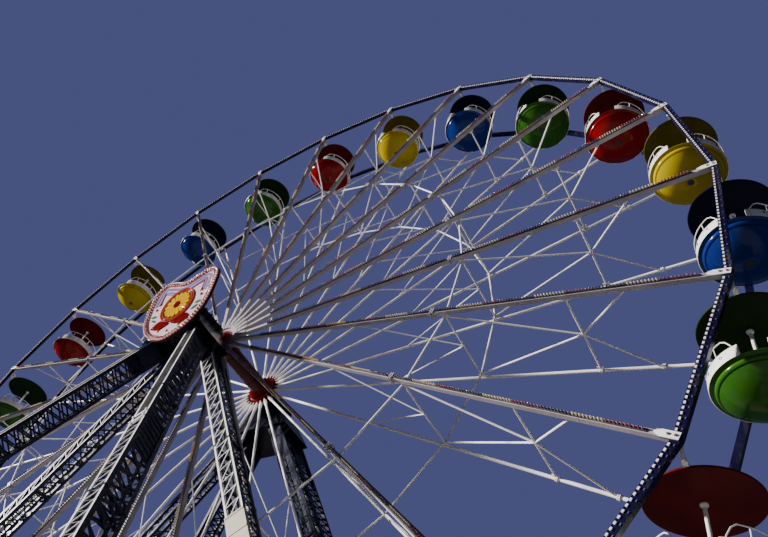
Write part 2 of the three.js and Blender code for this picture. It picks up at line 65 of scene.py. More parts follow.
# Studio
# A pale matt floor, a soft key light from the front left, and an even fill from all round. Nothing here is part of
# the wheel.
KEY_FROM = Vector((-0.84, -0.47, 0.28))
KEY_STRENGTH = 12.0
KEY_SOFTNESS = math.radians(4)
KEY_COLOUR = (1.0, 0.965, 0.91)
FILL_COLOUR = (0.18, 0.21, 0.36, 1)
BACKDROP_COLOUR = (0.29, 0.32, 0.84, 1)
FILL_STRENGTH = 0.25
FLOOR_RADIUS = 28
FLOOR_SIDES = 96
FLOOR_PALE = (0.40, 0.39, 0.38, 1)
FLOOR_SHADE = (0.36, 0.35, 0.34, 1)


def add(tree, kind, inputs=(), **settings):
    """One node of a tree. Each input is given a value, or is joined to the socket that is given for it."""
    made = tree.nodes.new(kind)
    for key, value in settings.items():
        setattr(made, key, value)
    for key, value in dict(inputs).items():
        if isinstance(value, bpy.types.NodeSocket):
            tree.links.new(value, made.inputs[key])
        else:
            made.inputs[key].default_value = value
    return made


def blank(name):
    """A material with its nodes taken out: the tree, the output node and the object coordinates."""
    material = bpy.data.materials.new(name)
    material.use_nodes = True
    tree = material.node_tree
    tree.nodes.clear()
    output = add(tree, "ShaderNodeOutputMaterial")
    place = add(tree, "ShaderNodeTexCoord").outputs["Object"]
    return material, tree, output, place


def fade(tree, factor, low, high, from_low, from_high):
    """low + (high - low) * (factor - from_low) / (from_high - from_low), held between low and high."""
    values = {"Value": factor, "From Min": from_low, "From Max": from_high, "To Min": low, "To Max": high}
    return add(tree, "ShaderNodeMapRange", values).outputs["Result"]


def blend_colour(tree, factor, first, second):
    """first * (1 - factor) + second * factor, in each colour."""
    mixed = add(tree, "ShaderNodeMix", {"Factor": factor}, data_type="RGBA")
    for socket, value in ((mixed.inputs[6], first), (mixed.inputs[7], second)):
        if isinstance(value, bpy.types.NodeSocket):
            tree.links.new(value, socket)
        else:
            socket.default_value = value
    return mixed.outputs[2]


def principled(tree, output, inputs):
    """A Principled shader with these inputs, joined to the material's output."""
    shader = add(tree, "ShaderNodeBsdfPrincipled", inputs)
    tree.links.new(shader.outputs[0], output.inputs[0])


key = bpy.data.lights.new("key", "SUN")
key.energy = KEY_STRENGTH
key.angle = KEY_SOFTNESS
key.color = KEY_COLOUR
key_object = bpy.data.objects.new("key", key)
key_object.rotation_euler = KEY_FROM.to_track_quat("Z", "Y").to_euler()
bpy.context.scene.collection.objects.link(key_object)

world = bpy.data.worlds.new("studio")
world.use_nodes = True
# The backdrop is brighter to look at than the fill light that it sheds
seen = add(world.node_tree, "ShaderNodeLightPath").outputs["Is Camera Ray"]
backdrop = world.node_tree.nodes["Background"]
world.node_tree.links.new(blend_colour(world.node_tree, seen, FILL_COLOUR, BACKDROP_COLOUR), backdrop.inputs["Color"])
backdrop.inputs["Strength"].default_value = FILL_STRENGTH
bpy.context.scene.world = world

floor_finish, tree, output, place = blank("floor")
mottle = add(tree, "ShaderNodeTexNoise", {"Vector": place, "Scale": 0.6, "Detail": 6.0})
colour = blend_colour(tree, mottle.outputs["Fac"], FLOOR_PALE, FLOOR_SHADE)
principled(tree, output, {"Base Color": colour, "Roughness": 0.9})

angle = np.linspace(0, 2 * math.pi, FLOOR_SIDES + 1)[:-1]
rim_points = np.stack([FLOOR_RADIUS * np.cos(angle), FLOOR_RADIUS * np.sin(angle), 0 * angle], -1)
floor_mesh = bpy.data.meshes.new("floor")
floor_mesh.from_pydata(rim_points.tolist(), [], [list(range(FLOOR_SIDES))])
floor_mesh.materials.append(floor_finish)
floor = bpy.data.objects.new("floor", floor_mesh)
bpy.context.scene.collection.objects.link(floor)

# Base
# Two long ground beams carry the side legs, with outriggers under the rakers and ties under the wheel. They are
# welded steel girders in dark navy paint, bolted to each other through end plates, with stiffeners in their webs.
BEAM_HEIGHT = 0.40
BEAM_WIDTH = 0.62
BEAM_REACH = 13.2
BEAM_Y = 2.0
OUTRIGGER_X = 10.09
OUTRIGGER_START = BEAM_Y + BEAM_WIDTH / 2
OUTRIGGER_END = 8.46
TIE_X = 12.195
FLANGE_THICKNESS = 0.028
FLANGE_PROUD = 0.045
STIFFENER_PITCH = 0.85
NAVY = (0.004, 0.005, 0.020, 1)
NAVY_FADED = (0.012, 0.015, 0.046, 1)
DUST = (0.10, 0.09, 0.085, 1)
ZINC = (0.52, 0.53, 0.54, 1)
ZINC_DARK = (0.30, 0.31, 0.33, 1)


def product(tree, first, second):
    """first * second."""
    return add(tree, "ShaderNodeMath", {0: first, 1: second}, operation="MULTIPLY").outputs[0]


weathering = bpy.data.node_groups.new("weathered paint", "ShaderNodeTree")
for way, kind, labels in (
    ("INPUT", "Color", ("Paint", "Faded", "Dirt")),
    ("INPUT", "Float", ("Scale", "Wear", "Gloss")),
    ("OUTPUT", "Color", ("Color",)),
    ("OUTPUT", "Float", ("Roughness", "Height")),
):
    for label in labels:
        weathering.interface.new_socket(label, in_out=way, socket_type=f"NodeSocket{kind}")
given = add(weathering, "NodeGroupInput").outputs
place = add(weathering, "ShaderNodeTexCoord").outputs["Object"]
# Broad patches where the paint is faded, vertical runs of dirt, and fine chips and grime
patch = add(weathering, "ShaderNodeTexNoise", {"Vector": place, "Scale": given["Scale"], "Detail": 3.0})
fading = fade(weathering, patch.outputs["Fac"], 0.0, 1.0, 0.38, 0.68)
faded = blend_colour(weathering, fading, given["Paint"], given["Faded"])
tall = add(weathering, "ShaderNodeMapping", {"Vector": place, "Scale": (7.0, 7.0, 0.7)})
run = add(weathering, "ShaderNodeTexNoise", {"Vector": tall.outputs[0], "Scale": given["Scale"], "Detail": 5.0})
streaks = product(weathering, fade(weathering, run.outputs["Fac"], 0.0, 0.7, 0.52, 0.78), given["Wear"])
stained = blend_colour(weathering, streaks, faded, given["Dirt"])
grain = {"Vector": place, "Scale": product(weathering, given["Scale"], 14.0), "Detail": 8.0, "Roughness": 0.66}
fine = add(weathering, "ShaderNodeTexNoise", grain).outputs["Fac"]
chips = product(weathering, fade(weathering, fine, 0.0, 1.0, 0.60, 0.72), given["Wear"])
chipped = blend_colour(weathering, chips, stained, given["Dirt"])
spread = product(weathering, fade(weathering, fine, -0.24, 0.44, 0.3, 0.7), given["Wear"])
rough = add(weathering, "ShaderNodeMath", {0: given["Gloss"], 1: spread}, operation="ADD", use_clamp=True)
add(weathering, "NodeGroupOutput", {"Color": chipped, "Roughness": rough.outputs[0], "Height": fine})


def painted(
    name, paint, faded, dirt, scale=1.0, wear=0.5, gloss=0.42, metallic=0.0, coat=0.0, bump=0.004, shine=0.5
):
    """Sprayed paint on steel or fibreglass: the weathered paint group feeds colour, roughness and a shallow bump."""
    material, tree, output, _ = blank(name)
    given = {"Paint": paint, "Faded": faded, "Dirt": dirt, "Scale": scale, "Wear": wear, "Gloss": gloss}
    surface = add(tree, "ShaderNodeGroup", given, node_tree=weathering).outputs
    relief = add(tree, "ShaderNodeBump", {"Height": surface["Height"], "Strength": 0.35, "Distance": bump})
    inputs = {"Base Color": surface["Color"], "Roughness": surface["Roughness"], "Normal": relief.outputs[0]}
    inputs |= {"Metallic": metallic, "Specular IOR Level": shine, "Coat Weight": coat, "Coat Roughness": 0.08}
    principled(tree, output, inputs)
    return material


def refinish(material, *nodes):
    """Gives these CAD nodes a material in all their slots."""
    for node in nodes:
        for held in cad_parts[node].material_slots:
            held.material = material


def unit(vectors):
    """v / |v|."""
    return vectors / np.linalg.norm(vectors, axis=-1, keepdims=True)


def square_to(side, along):
    """side - (side . along) along, made one long."""
    return unit(side - np.sum(side * along, -1, keepdims=True) * along)


def grid(rows, columns, round_rows=False, round_columns=True):
    """Four-sided faces of a grid of points numbered along its rows. A round direction joins its last to its first."""
    row = np.arange(rows if round_rows else rows - 1)[:, None]
    column = np.arange(columns if round_columns else columns - 1)[None, :]
    next_row, next_column = (row + 1) % rows, (column + 1) % columns
    corners = [row * columns + column, row * columns + next_column]
    corners += [next_row * columns + next_column, next_row * columns + column]
    return np.stack(corners, -1).reshape(-1, 4)


def prism(profile):
    """(x, y) from the profile and z = 0 or 1, with a flat face at each end."""
    profile = np.asarray(profile, float)
    count = len(profile)
    points = np.concatenate([np.c_[profile, np.zeros(count)], np.c_[profile, np.ones(count)]])
    ring = np.arange(count)
    return points, [grid(2, count), ring[None, ::-1], ring[None, :] + count]


def ngon(sides, radius=0.5, turn=0.0):
    """radius * (cos a, sin a), with a in equal steps round from the turn."""
    angle = turn + 2 * math.pi * np.arange(sides) / sides
    return radius * np.stack([np.cos(angle), np.sin(angle)], -1)


SQUARE = np.array([(-0.5, -0.5), (0.5, -0.5), (0.5, 0.5), (-0.5, 0.5)])


def copies(shape, at, x, y, z):
    """One copy of a shape per place: point = at + x * px + y * py + z * pz."""
    points, faces = shape
    at, x, y, z = np.broadcast_arrays(*(np.atleast_2d(np.asarray(v, float)) for v in (at, x, y, z)))
    placed = at[:, None] + np.einsum("nc,p->npc", x, points[:, 0])
    placed += np.einsum("nc,p->npc", y, points[:, 1]) + np.einsum("nc,p->npc", z, points[:, 2])
    shift = np.arange(len(at))[:, None, None] * len(points)
    return placed.reshape(-1, 3), [(face[None] + shift).reshape(-1, face.shape[1]) for face in faces]


def bars(starts, ends, side, width, depth, profile=SQUARE):
    """Straight bars from start to end. Across = side less its part along the bar, and up = along x across."""
    starts, ends, side = np.broadcast_arrays(*(np.atleast_2d(v).astype(float) for v in (starts, ends, side)))
    along = unit(ends - starts)
    across = square_to(side, along)
    up = np.cross(along, across)
    return copies(prism(profile), starts, across * width, up * depth, ends - starts)


def turned(outline, sides):
    """x = r cos a, y = r sin a, z = h, for (r, h) on the outline and a round the whole turn. Where the outline starts
    and ends at r = 0 it closes in two poles; elsewhere it closes on itself."""
    outline = np.asarray(outline, float)
    on_axis = outline[:, 0] == 0
    rings = outline[~on_axis]
    count = len(rings)
    circle = ngon(sides, 1.0)
    flat = rings[:, None, :1] * circle[None]
    height = np.broadcast_to(rings[:, None, 1:], (count, sides, 1))
    points = np.concatenate([flat, height], -1).reshape(-1, 3)
    if not on_axis.any():
        return points, [grid(count, sides, round_rows=True)]
    poles = np.array([(0, 0, outline[0, 1]), (0, 0, outline[-1, 1])])
    low, high = len(points), len(points) + 1
    ring = np.arange(sides)
    following = (ring + 1) % sides
    last = (count - 1) * sides
    fan_low = np.stack([np.full(sides, low), following, ring], -1)
    fan_high = np.stack([ring + last, following + last, np.full(sides, high)], -1)
    return np.concatenate([points, poles]), [grid(count, sides), fan_low, fan_high]


class Shapes(list):
    """The shapes of one piece, each as (points, faces, material)."""

    def add(self, material, shape):
        """Takes in a shape of this material."""
        self.append((*shape, material))


def build(name, shapes, materials, crease=32):
    """A mesh object from (points, faces, material) shapes. Edges sharper than the crease angle stay sharp."""
    first, points, corners, sizes, numbers = 0, [], [], [], []
    for at, faces, material in shapes:
        points.append(at)
        for face in faces:
            corners.append(face.ravel() + first)
            sizes.append(np.full(len(face), face.shape[1]))
            numbers.append(np.full(len(face), materials.index(material)))
        first += len(at)
    points, corners = np.concatenate(points), np.concatenate(corners)
    sizes, numbers = np.concatenate(sizes), np.concatenate(numbers)
    mesh = bpy.data.meshes.new(name)
    mesh.vertices.add(len(points))
    mesh.vertices.foreach_set("co", points.ravel().astype(np.float32))
    mesh.loops.add(len(corners))
    mesh.loops.foreach_set("vertex_index", corners.astype(np.int32))
    mesh.polygons.add(len(sizes))
    starts = np.concatenate([[0], np.cumsum(sizes)[:-1]])
    mesh.polygons.foreach_set("loop_start", starts.astype(np.int32))
    mesh.polygons.foreach_set("material_index", numbers.astype(np.int32))
    mesh.polygons.foreach_set("use_smooth", np.ones(len(sizes), bool))
    mesh.update(calc_edges=True)
    mesh.set_sharp_from_angle(angle=math.radians(crease))
    for material in materials:
        mesh.materials.append(material)
    made = bpy.data.objects.new(name, mesh)
    bpy.context.scene.collection.objects.link(made)
    return made


BOLT = [(0, 0), (1, 0), (1, 0.62), (0.72, 0.8), (0, 0.8)]  # radius and height of a hexagon bolt head


def bolts(at, axis, side, radius):
    """Hexagon heads that stand on points, along an axis."""
    axis = unit(np.atleast_2d(axis).astype(float))
    across = square_to(np.atleast_2d(side).astype(float), axis)
    return copies(turned(BOLT, 6), at, across * radius, np.cross(axis, across) * radius, axis * radius)


X, Y, Z = np.eye(3)
navy_paint = painted("navy_steel", NAVY, NAVY_FADED, DUST, scale=0.9, wear=0.4, gloss=0.3, shine=0.22)
zinc = painted("zinc_plate", ZINC, ZINC_DARK, DUST, scale=3.0, wear=0.3, gloss=0.34, metallic=0.85)
refinish(navy_paint, "front_ground_beam", "rear_ground_beam", "left_ground_tie", "right_ground_tie")
refinish(navy_paint, *(f"{end}_{hand}_outrigger" for end in ("front", "rear") for hand in ("left", "right")))


def girder(start, end, side):
    """Flanges along both edges of a girder's sides and stiffeners between them, on a beam from start to end."""
    start, end, side = (np.asarray(v, float) for v in (start, end, side))
    length = np.linalg.norm(end - start)
    shapes = Shapes()
    face = BEAM_WIDTH / 2 + FLANGE_PROUD / 2 - 0.004
    for hand in (-1, 1):
        for height in (FLANGE_THICKNESS / 2 + 0.001, BEAM_HEIGHT - FLANGE_THICKNESS / 2):
            shift = side * hand * face + Z * height
            shapes.add(navy_paint, bars(start + shift, end + shift, side, FLANGE_PROUD, FLANGE_THICKNESS))
        step = np.arange(STIFFENER_PITCH / 2, length, STIFFENER_PITCH)[:, None]
        foot = start + (end - start) * step / length + side * hand * face + Z * FLANGE_THICKNESS
        top = foot + Z * (BEAM_HEIGHT - 2 * FLANGE_THICKNESS)
        shapes.add(navy_paint, bars(foot, top, side, FLANGE_PROUD * 0.86, 0.016))
    return shapes


base_parts = Shapes()
for sign in (-1, 1):
    base_parts += girder((-BEAM_REACH, sign * BEAM_Y, 0), (BEAM_REACH, sign * BEAM_Y, 0), Y)
    base_parts += girder((sign * TIE_X, 0.32 - BEAM_Y, 0), (sign * TIE_X, BEAM_Y - 0.32, 0), X)
    for hand in (-1, 1):
        near = (hand * OUTRIGGER_X, sign * (OUTRIGGER_START + 0.02), 0)
        base_parts += girder(near, (hand * OUTRIGGER_X, sign * OUTRIGGER_END, 0), X)
        # Joint plates with bolts where the outrigger meets the ground beam
        for up in (0.11, 0.29):
            for wide in (-0.42, -0.36, 0.36, 0.42):
                at = (hand * OUTRIGGER_X + wide, sign * (OUTRIGGER_START + 0.05), up)
                base_parts.add(zinc, bolts(at, (0, sign, 0), Z, 0.024))
        at = np.array((hand * OUTRIGGER_X, sign * (OUTRIGGER_START + 0.04), 0.02))
        base_parts.add(navy_paint, bars(at, at + Z * 0.36, X, 0.94, 0.03))
base_fittings = build("base_fittings", base_parts, [navy_paint, zinc])
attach(base_fittings, "support")

# Side legs
# Four square-tube chords with tube frames, laced with flat bar on every side, in navy paint. The face that looks away
# from the wheel has a white strip along each edge and white bars between them, and a cream sheet over one stretch.
LEG_HEAD_Z = 17.9
LEG_FOOT_Z = 0.4
LEG_TOP_X = 0.805
LEG_FOOT_X = 12.195
LEG_WIDTH = 0.48
LEG_DEPTH = 0.56
CHORD = 0.10
LEG_PANELS = 43
LEG_LACES = 56
LACE_THICKNESS = 0.018
LACE_WIDTH = 0.045
LACED = (0.03, 0.972)  # shares of the length between which legs and rakers are laced
PLATE_THICKNESS = 0.014
SHEET_THICKNESS = 0.012
JOINT_HALF = 0.03
JOINT_WIDTH = 0.13
WHITE_END = 0.985  # share of the length at which the white strips end
WHITE_BELOW = 17.25  # the outer face is left navy above this height
STRIP_WIDTH = 0.042
STRIP_SIDE = 1.09  # share of the half width at which the white strips lie
STRIP_FACE = 1.235  # share of the half depth at which they lie on the chords
CASING_SHARES = (0.395, 0.50)
FRAME_SHARES = 0.025 + 0.2375 * np.arange(1, 4)
WHITE = (0.86, 0.83, 0.84, 1)
WHITE_FADED = (0.70, 0.66, 0.67, 1)
GRIME = (0.16, 0.14, 0.13, 1)
CREAM = (0.42, 0.34, 0.24, 1)
CREAM_FADED = (0.28, 0.22, 0.16, 1)


def lattice_point(head, foot, width, depth, t, a, b):
    """head + (foot - head) t + side a (width - chord) / 2 + face b (depth - chord) / 2. Face lies in the Y-Z plane at
    right angles to the leg and points away from the wheel. Side = along x face, turned to point away from the hub."""
    along = unit(foot - head)
    face = unit(np.array([0, -along[2], along[1]])) * np.sign(head[1])
    side = unit(np.cross(along, face))
    side = side * np.sign(side[0] * head[0])
    t, a, b = (np.atleast_1d(v)[:, None] for v in (t, a, b))
    return head + (foot - head) * t + side * a * (width - CHORD) / 2 + face * b * (depth - CHORD) / 2


def zigzag(corner, laces, shares, first, fixed, on_face):
    """Ends of a zigzag between two chords: t in equal steps, and the free side changes sign at every step."""
    t = np.linspace(*shares, laces + 1)
    free = first * (-1.0) ** np.arange(laces + 1)
    at = corner(t, free, fixed) if on_face else corner(t, fixed, free)
    return at[:-1], at[1:]


def lattice_legs(kind, top, bottom, width, depth):
    """For each of the four legs of a kind, from (x, y) at its top to its bottom: its name, a function that gives its
    points, the direction along it, and half its depth and half its width as vectors."""
    for end, sign in (("front", -1), ("rear", 1)):
        for hand, x in (("left", -1), ("right", 1)):
            head = np.array((x * top[0], sign * top[1], LEG_HEAD_Z))
            foot = np.array((x * bottom[0], sign * bottom[1], LEG_FOOT_Z))
            refinish(navy_paint, f"{end}_{hand}_{kind}")

            def corner(t, a, b):
                """A point on this leg: a = 1 is its outer side and b = 1 the face away from the wheel."""
                return lattice_point(head, foot, width, depth, t, a, b)

            outward = corner(0, 0, 1)[0] - corner(0, 0, 0)[0]
            sideways = corner(0, 1, 0)[0] - corner(0, 0, 0)[0]
            yield f"{end}_{hand}_{kind}", corner, unit(foot - head), outward, sideways


def lengthwise(corner, shares, a, b, side, width, depth):
    """A bar along a leg, between two shares of its length."""
    return bars(corner(shares[0], a, b), corner(shares[1], a, b), side, width, depth)


def joints_and_shoes(parts, corner, along, side, shoe_width):
    """Joint flanges on all four chords, and a shoe under each on the ground beam."""
    for a in (-1, 1):
        for b in (-1, 1):
            at = corner(FRAME_SHARES, a, b)
            flange = bars(at - along * JOINT_HALF, at + along * JOINT_HALF, side, JOINT_WIDTH, JOINT_WIDTH)
            parts.add(navy_paint, flange)
            shoe = corner(0.999, a, b) * (1, 1, 0) + Z * BEAM_HEIGHT
            parts.add(navy_paint, bars(shoe, shoe + Z * 0.03, X, shoe_width, 0.2))


white_paint = painted("white_steel", WHITE, WHITE_FADED, GRIME, scale=0.9, wear=0.2, gloss=0.4)
cream_sheet = painted("cream_sheet", CREAM, CREAM_FADED, GRIME, scale=1.1, wear=0.5, gloss=0.45)
white_from = (LEG_HEAD_Z - WHITE_BELOW) / (LEG_HEAD_Z - LEG_FOOT_Z)
leg_ends = (LEG_TOP_X, BEAM_Y), (LEG_FOOT_X, BEAM_Y)
for name, corner, along, outward, sideways in lattice_legs("leg", *leg_ends, LEG_WIDTH, LEG_DEPTH):
    parts = Shapes()
    # Outer face: white strips along its edges, with a rung and a diagonal in every panel laid over the chords
    for a in (-STRIP_SIDE, STRIP_SIDE):
        strip = lengthwise(corner, (white_from, WHITE_END), a, STRIP_FACE, outward, 0.008, STRIP_WIDTH)
        parts.add(white_paint, strip)
    t = np.linspace(0.03, 0.97, LEG_PANELS + 1)
    pitch = t[1] - t[0]
    white = corner(t, 0, 1)[:, 2] < WHITE_BELOW
    for at, paint in ((t[~white], navy_paint), (t[white], white_paint)):
        high = corner(at - pitch * 0.2, 0.92, 1.27)
        parts.add(paint, bars(corner(at, -0.92, 1.27), high, outward, 0.016, 0.014))
        parts.add(paint, bars(corner(at + pitch * 0.92, -0.92, 1.30), high, outward, 0.016, 0.017))
    # The other faces: one zigzag each, and cross bars on the two sides
    lace = zigzag(corner, LEG_LACES, LACED, 1, -1, True)
    parts.add(navy_paint, bars(*lace, outward, LACE_THICKNESS, LACE_WIDTH))
    t = np.linspace(*LACED, LEG_LACES // 2 + 1)
    for a in (-1, 1):
        lace = zigzag(corner, LEG_LACES, LACED, a, a, False)
        parts.add(navy_paint, bars(*lace, sideways, LACE_THICKNESS, LACE_WIDTH))
        parts.add(navy_paint, bars(corner(t, a, -1), corner(t, a, 1), sideways, LACE_THICKNESS, 0.035))
    # Plate over the face next to the wheel under the head
    plate = lengthwise(corner, (0.003, 0.085), 0, -1.04, outward, PLATE_THICKNESS, LEG_WIDTH - 0.01)
    parts.add(navy_paint, plate)
    joints_and_shoes(parts, corner, along, Y, 0.26)
    lace = build(f"{name}_lacing", parts, [navy_paint, white_paint])
    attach(lace, "support")
    # Cream casing: a sheet over the outer face with lips along both edges and seams across it
    parts = Shapes()
    sheet = lengthwise(corner, CASING_SHARES, 0, 1.34, outward, SHEET_THICKNESS, LEG_WIDTH + 0.02)
    parts.add(cream_sheet, sheet)
    for a in (-1.28, 1.28):
        parts.add(cream_sheet, lengthwise(corner, CASING_SHARES, a, 1.05, sideways, SHEET_THICKNESS, 0.11))
    for at in corner(np.linspace(*CASING_SHARES, 5), 0, 1.38):
        seam = bars(at - sideways * 1.27, at + sideways * 1.27, outward, SHEET_THICKNESS, 0.05)
        parts.add(cream_sheet, seam)
    casing = build(f"{name}_casing", parts, [cream_sheet])
    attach(casing, "support")

# Rakers
# Deeper lattice legs that lean out from the bearing heads. The narrow outer face has white edges and close slanted
# rungs like a ladder, and the deep sides are navy with crossed bars, a dark panel, and gusset plates at the head.
RAKER_TOP = (0.90, 2.675)
RAKER_FOOT = (10.09, 7.74)
RAKER_WIDTH = 0.36
RAKER_DEPTH = 0.72
RUNGS = 56
LOW_RUNGS = 38
RUNG_SLANT = 0.010
EDGE_WIDTH = 0.042
EDGE_SIDE = 1.16  # share of the half width at which the white edges lie
EDGE_FACE = 1.168  # share of the half depth at which they lie on the chords
LANDING_SHARE = 0.345
PANEL_SHARES = (0.325, 0.412)
IRON = (0.055, 0.05, 0.055, 1)
IRON_WORN = (0.14, 0.13, 0.13, 1)
BACK_LACES = 60
INNER_LACES = 84
CROSSED = ((26, (LACED[0], PANEL_SHARES[0]), 0.05), (21, (PANEL_SHARES[1], LACED[1]), 0.075))  # laces, shares, width
dark_iron = painted("dark_iron", IRON, IRON_WORN, DUST, scale=2.0, wear=0.5, gloss=0.4)


def rungs(corner, t, slant, reach, face, outward, depth, width):
    """Bars across the outer face, from a = reach at t to a = -reach at t + slant."""
    return bars(corner(t, reach, face), corner(t + slant, -reach, face), outward, depth, width)


for name, corner, along, outward, sideways in lattice_legs("raker", RAKER_TOP, RAKER_FOOT, RAKER_WIDTH, RAKER_DEPTH):
    parts = Shapes()
    # Ladder on the outer face between two white edges: close rungs down to the landing, and wider ones below it
    for a in (-EDGE_SIDE, EDGE_SIDE):
        parts.add(white_paint, lengthwise(corner, (0.03, WHITE_END), a, EDGE_FACE, outward, 0.008, EDGE_WIDTH))
    t = np.linspace(0.035, LANDING_SHARE - 0.012, RUNGS)
    parts.add(dark_iron, rungs(corner, t, RUNG_SLANT, 1, 1.16, outward, 0.02, 0.018))
    t = np.linspace(LANDING_SHARE + 0.015, 0.965, LOW_RUNGS)
    parts.add(white_paint, rungs(corner, t, RUNG_SLANT, 1, 1.16, outward, 0.02, 0.017))
    parts.add(dark_iron, rungs(corner, t, -RUNG_SLANT * 0.6, 1, 1.13, outward, 0.02, 0.02))
    t = LANDING_SHARE + np.array([-0.006, 0.008])
    parts.add(white_paint, rungs(corner, t, RUNG_SLANT, 1.2, 1.18, outward, 0.03, 0.07))
    ends = corner(np.repeat(t, 2) + RUNG_SLANT * np.array([0, 1, 0, 1]), np.array([1, -1, 1, -1]), 1.23)
    parts.add(white_paint, bolts(ends, outward, along, 0.03))
    # Back face and inner side: one zigzag. Outer side: crossed bars, close above the panel and wide below it
    lace = zigzag(corner, BACK_LACES, LACED, 1, -1, True)
    parts.add(navy_paint, bars(*lace, outward, LACE_THICKNESS, LACE_WIDTH))
    lace = zigzag(corner, INNER_LACES, LACED, 1, -1, False)
    parts.add(navy_paint, bars(*lace, sideways, LACE_THICKNESS, 0.048))
    for first in (-1, 1):
        shift = unit(sideways) * first * 0.012
        for laces, shares, wide in CROSSED:
            low, high = zigzag(corner, laces, shares, first, 1, False)
            parts.add(navy_paint, bars(low + shift, high + shift, sideways, LACE_THICKNESS, wide))
    panel = lengthwise(corner, PANEL_SHARES, 1.08, 0, sideways, PLATE_THICKNESS, RAKER_DEPTH - 0.03)
    parts.add(navy_paint, panel)
    t = np.linspace(PANEL_SHARES[0] + 0.006, PANEL_SHARES[1] - 0.006, 8)
    parts.add(navy_paint, bars(corner(t, 1.18, -1), corner(t, 1.18, 1), sideways, 0.02, 0.03))
    # Gusset plates close the sides under the head, with a raised edge
    for a, reach in ((-1.08, 0.036), (1.08, 0.055)):
        plate = lengthwise(corner, (0.003, reach), a, 0, sideways, PLATE_THICKNESS, RAKER_DEPTH - 0.02)
        parts.add(navy_paint, plate)
        parts.add(navy_paint, bars(corner(reach, a, -1), corner(reach - 0.006, a, 1), sideways, 0.03, 0.05))
    joints_and_shoes(parts, corner, along, outward, 0.2)
    lace = build(f"{name}_lacing", parts, [navy_paint, white_paint, dark_iron])
    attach(lace, "support")

# Bearing heads
# Welded plate boxes on the leg heads, with the bearing block on top. Their edges are doubled with strips, and the
# bearing cap and the head's feet are held with rows of bolts.
HUB_Z = 19.4
HEAD_INNER = 1.65
HEAD_OUTER = 3.07
BLOCK_OUTER = 2.75
HEAD_TOP = -0.25
HEAD_BOTTOM = -1.50
HEAD_TOP_HALF = 0.42
HEAD_BOTTOM_HALF = 1.35
STRIP = 0.07
STRIP_THICKNESS = 0.02
RIB_X = 0.345
RIB_HEIGHT = 0.38
HEAD_NAVY = (0.0022, 0.0024, 0.008, 1)
HEAD_NAVY_FADED = (0.004, 0.0045, 0.013, 1)
HEAD_GRIME = (0.012, 0.011, 0.014, 1)
head_paint = painted("head_navy", HEAD_NAVY, HEAD_NAVY_FADED, HEAD_GRIME, 1.2, 0.3, 0.16, shine=0.15)
refinish(head_paint, "front_bearing_head", "rear_bearing_head")
for end, sign in (("front", -1), ("rear", 1)):
    parts = Shapes()
    for y in (HEAD_INNER, HEAD_OUTER):
        face = sign * (y + (0.006 if y == HEAD_OUTER else -0.006))
        outline = np.array(
            [
                (HEAD_TOP_HALF, face, HUB_Z + HEAD_TOP),
                (HEAD_BOTTOM_HALF, face, HUB_Z + HEAD_BOTTOM),
                (-HEAD_BOTTOM_HALF, face, HUB_Z + HEAD_BOTTOM),
                (-HEAD_TOP_HALF, face, HUB_Z + HEAD_TOP),
            ]
        )
        inner = outline + np.array([(-0.05, 0, -0.04), (-0.09, 0, 0.04), (0.09, 0, 0.04), (0.05, 0, -0.04)])
        parts.add(head_paint, bars(inner, np.roll(inner, -1, 0), Y, STRIP_THICKNESS, STRIP))
        along = np.linspace(0.12, 0.88, 9)[:, None]
        at = np.concatenate([inner[0] + (inner[1] - inner[0]) * along, inner[3] + (inner[2] - inner[3]) * along])
        parts.add(zinc, bolts(at + Y * sign * 0.008, Y * sign, X, 0.02))
    ring = ngon(10, 0.27)
    at = np.stack([ring[:, 0], np.full(10, sign * (BLOCK_OUTER + 0.002)), ring[:, 1] + HUB_Z], -1)
    parts.add(zinc, bolts(at, Y * sign, X, 0.026))
    for y in np.linspace(HEAD_INNER + 0.14, BLOCK_OUTER - 0.14, 4):
        for x in (-RIB_X, RIB_X):
            low = np.array((x, sign * y, HUB_Z + HEAD_TOP + 0.02))
            parts.add(head_paint, bars(low, low + Z * RIB_HEIGHT, X, 0.05, 0.05))
    fittings = build(f"{end}_head_fittings", parts, [head_paint, zinc])
    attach(fittings, "support")

# Hub
# A turned red drum with a flange for each set of spoke feet, thrust collars and journals. Welded ribs brace
# the flanges, and the spoke feet are bolted through them.
PLANE_Y = 1.275
HUB_RED = (0.050, 0.0015, 0.0015, 1)
HUB_RED_FADED = (0.075, 0.003, 0.003, 1)
HUB_GRIME = (0.03, 0.012, 0.012, 1)
FLANGE_RED = (0.42, 0.008, 0.014, 1)
FLANGE_RED_FADED = (0.30, 0.014, 0.018, 1)
# A lighter, pinker copy of the flange red for the front flange: painted sunlight
FLANGE_SUNLIT_PINK = (0.60, 0.09, 0.11, 1)
FLANGE_SUNLIT_PINK_FADED = (0.48, 0.06, 0.07, 1)
DRUM_RADIUS = 0.31
FLANGE_RADIUS = 0.52
FLANGE_HALF = 0.045
HUB_SIDES = 96
FIRST_NODE = math.radians(1.6)
STEP = math.radians(15)


def mirrored(half):
    """The points of half an outline, and then the same with their second measure negated, in reverse."""
    return half + [(first, -second) for first, second in half[::-1]]


hub_outline = mirrored([
    (0, -2.80), (0.17, -2.80), (0.19, -2.78), (0.19, -1.65), (0.27, -1.6495), (0.27, -1.425), (0.29, -1.425),
    (0.31, -1.41), (0.31, -0.66), (0.325, -0.65), (0.325, -0.57), (0.31, -0.56),
])
flange_outline = mirrored([(0.305, -FLANGE_HALF), (0.505, -FLANGE_HALF), (FLANGE_RADIUS, -0.030)])
rib_profile = [(-0.01, -0.01), (0.185, -0.01), (0.185, 0.02), (0.03, 0.27), (-0.01, 0.27)]  # outwards and along


def node_angle(k):
    """First node + k steps."""
    return FIRST_NODE + np.asarray(k) * STEP


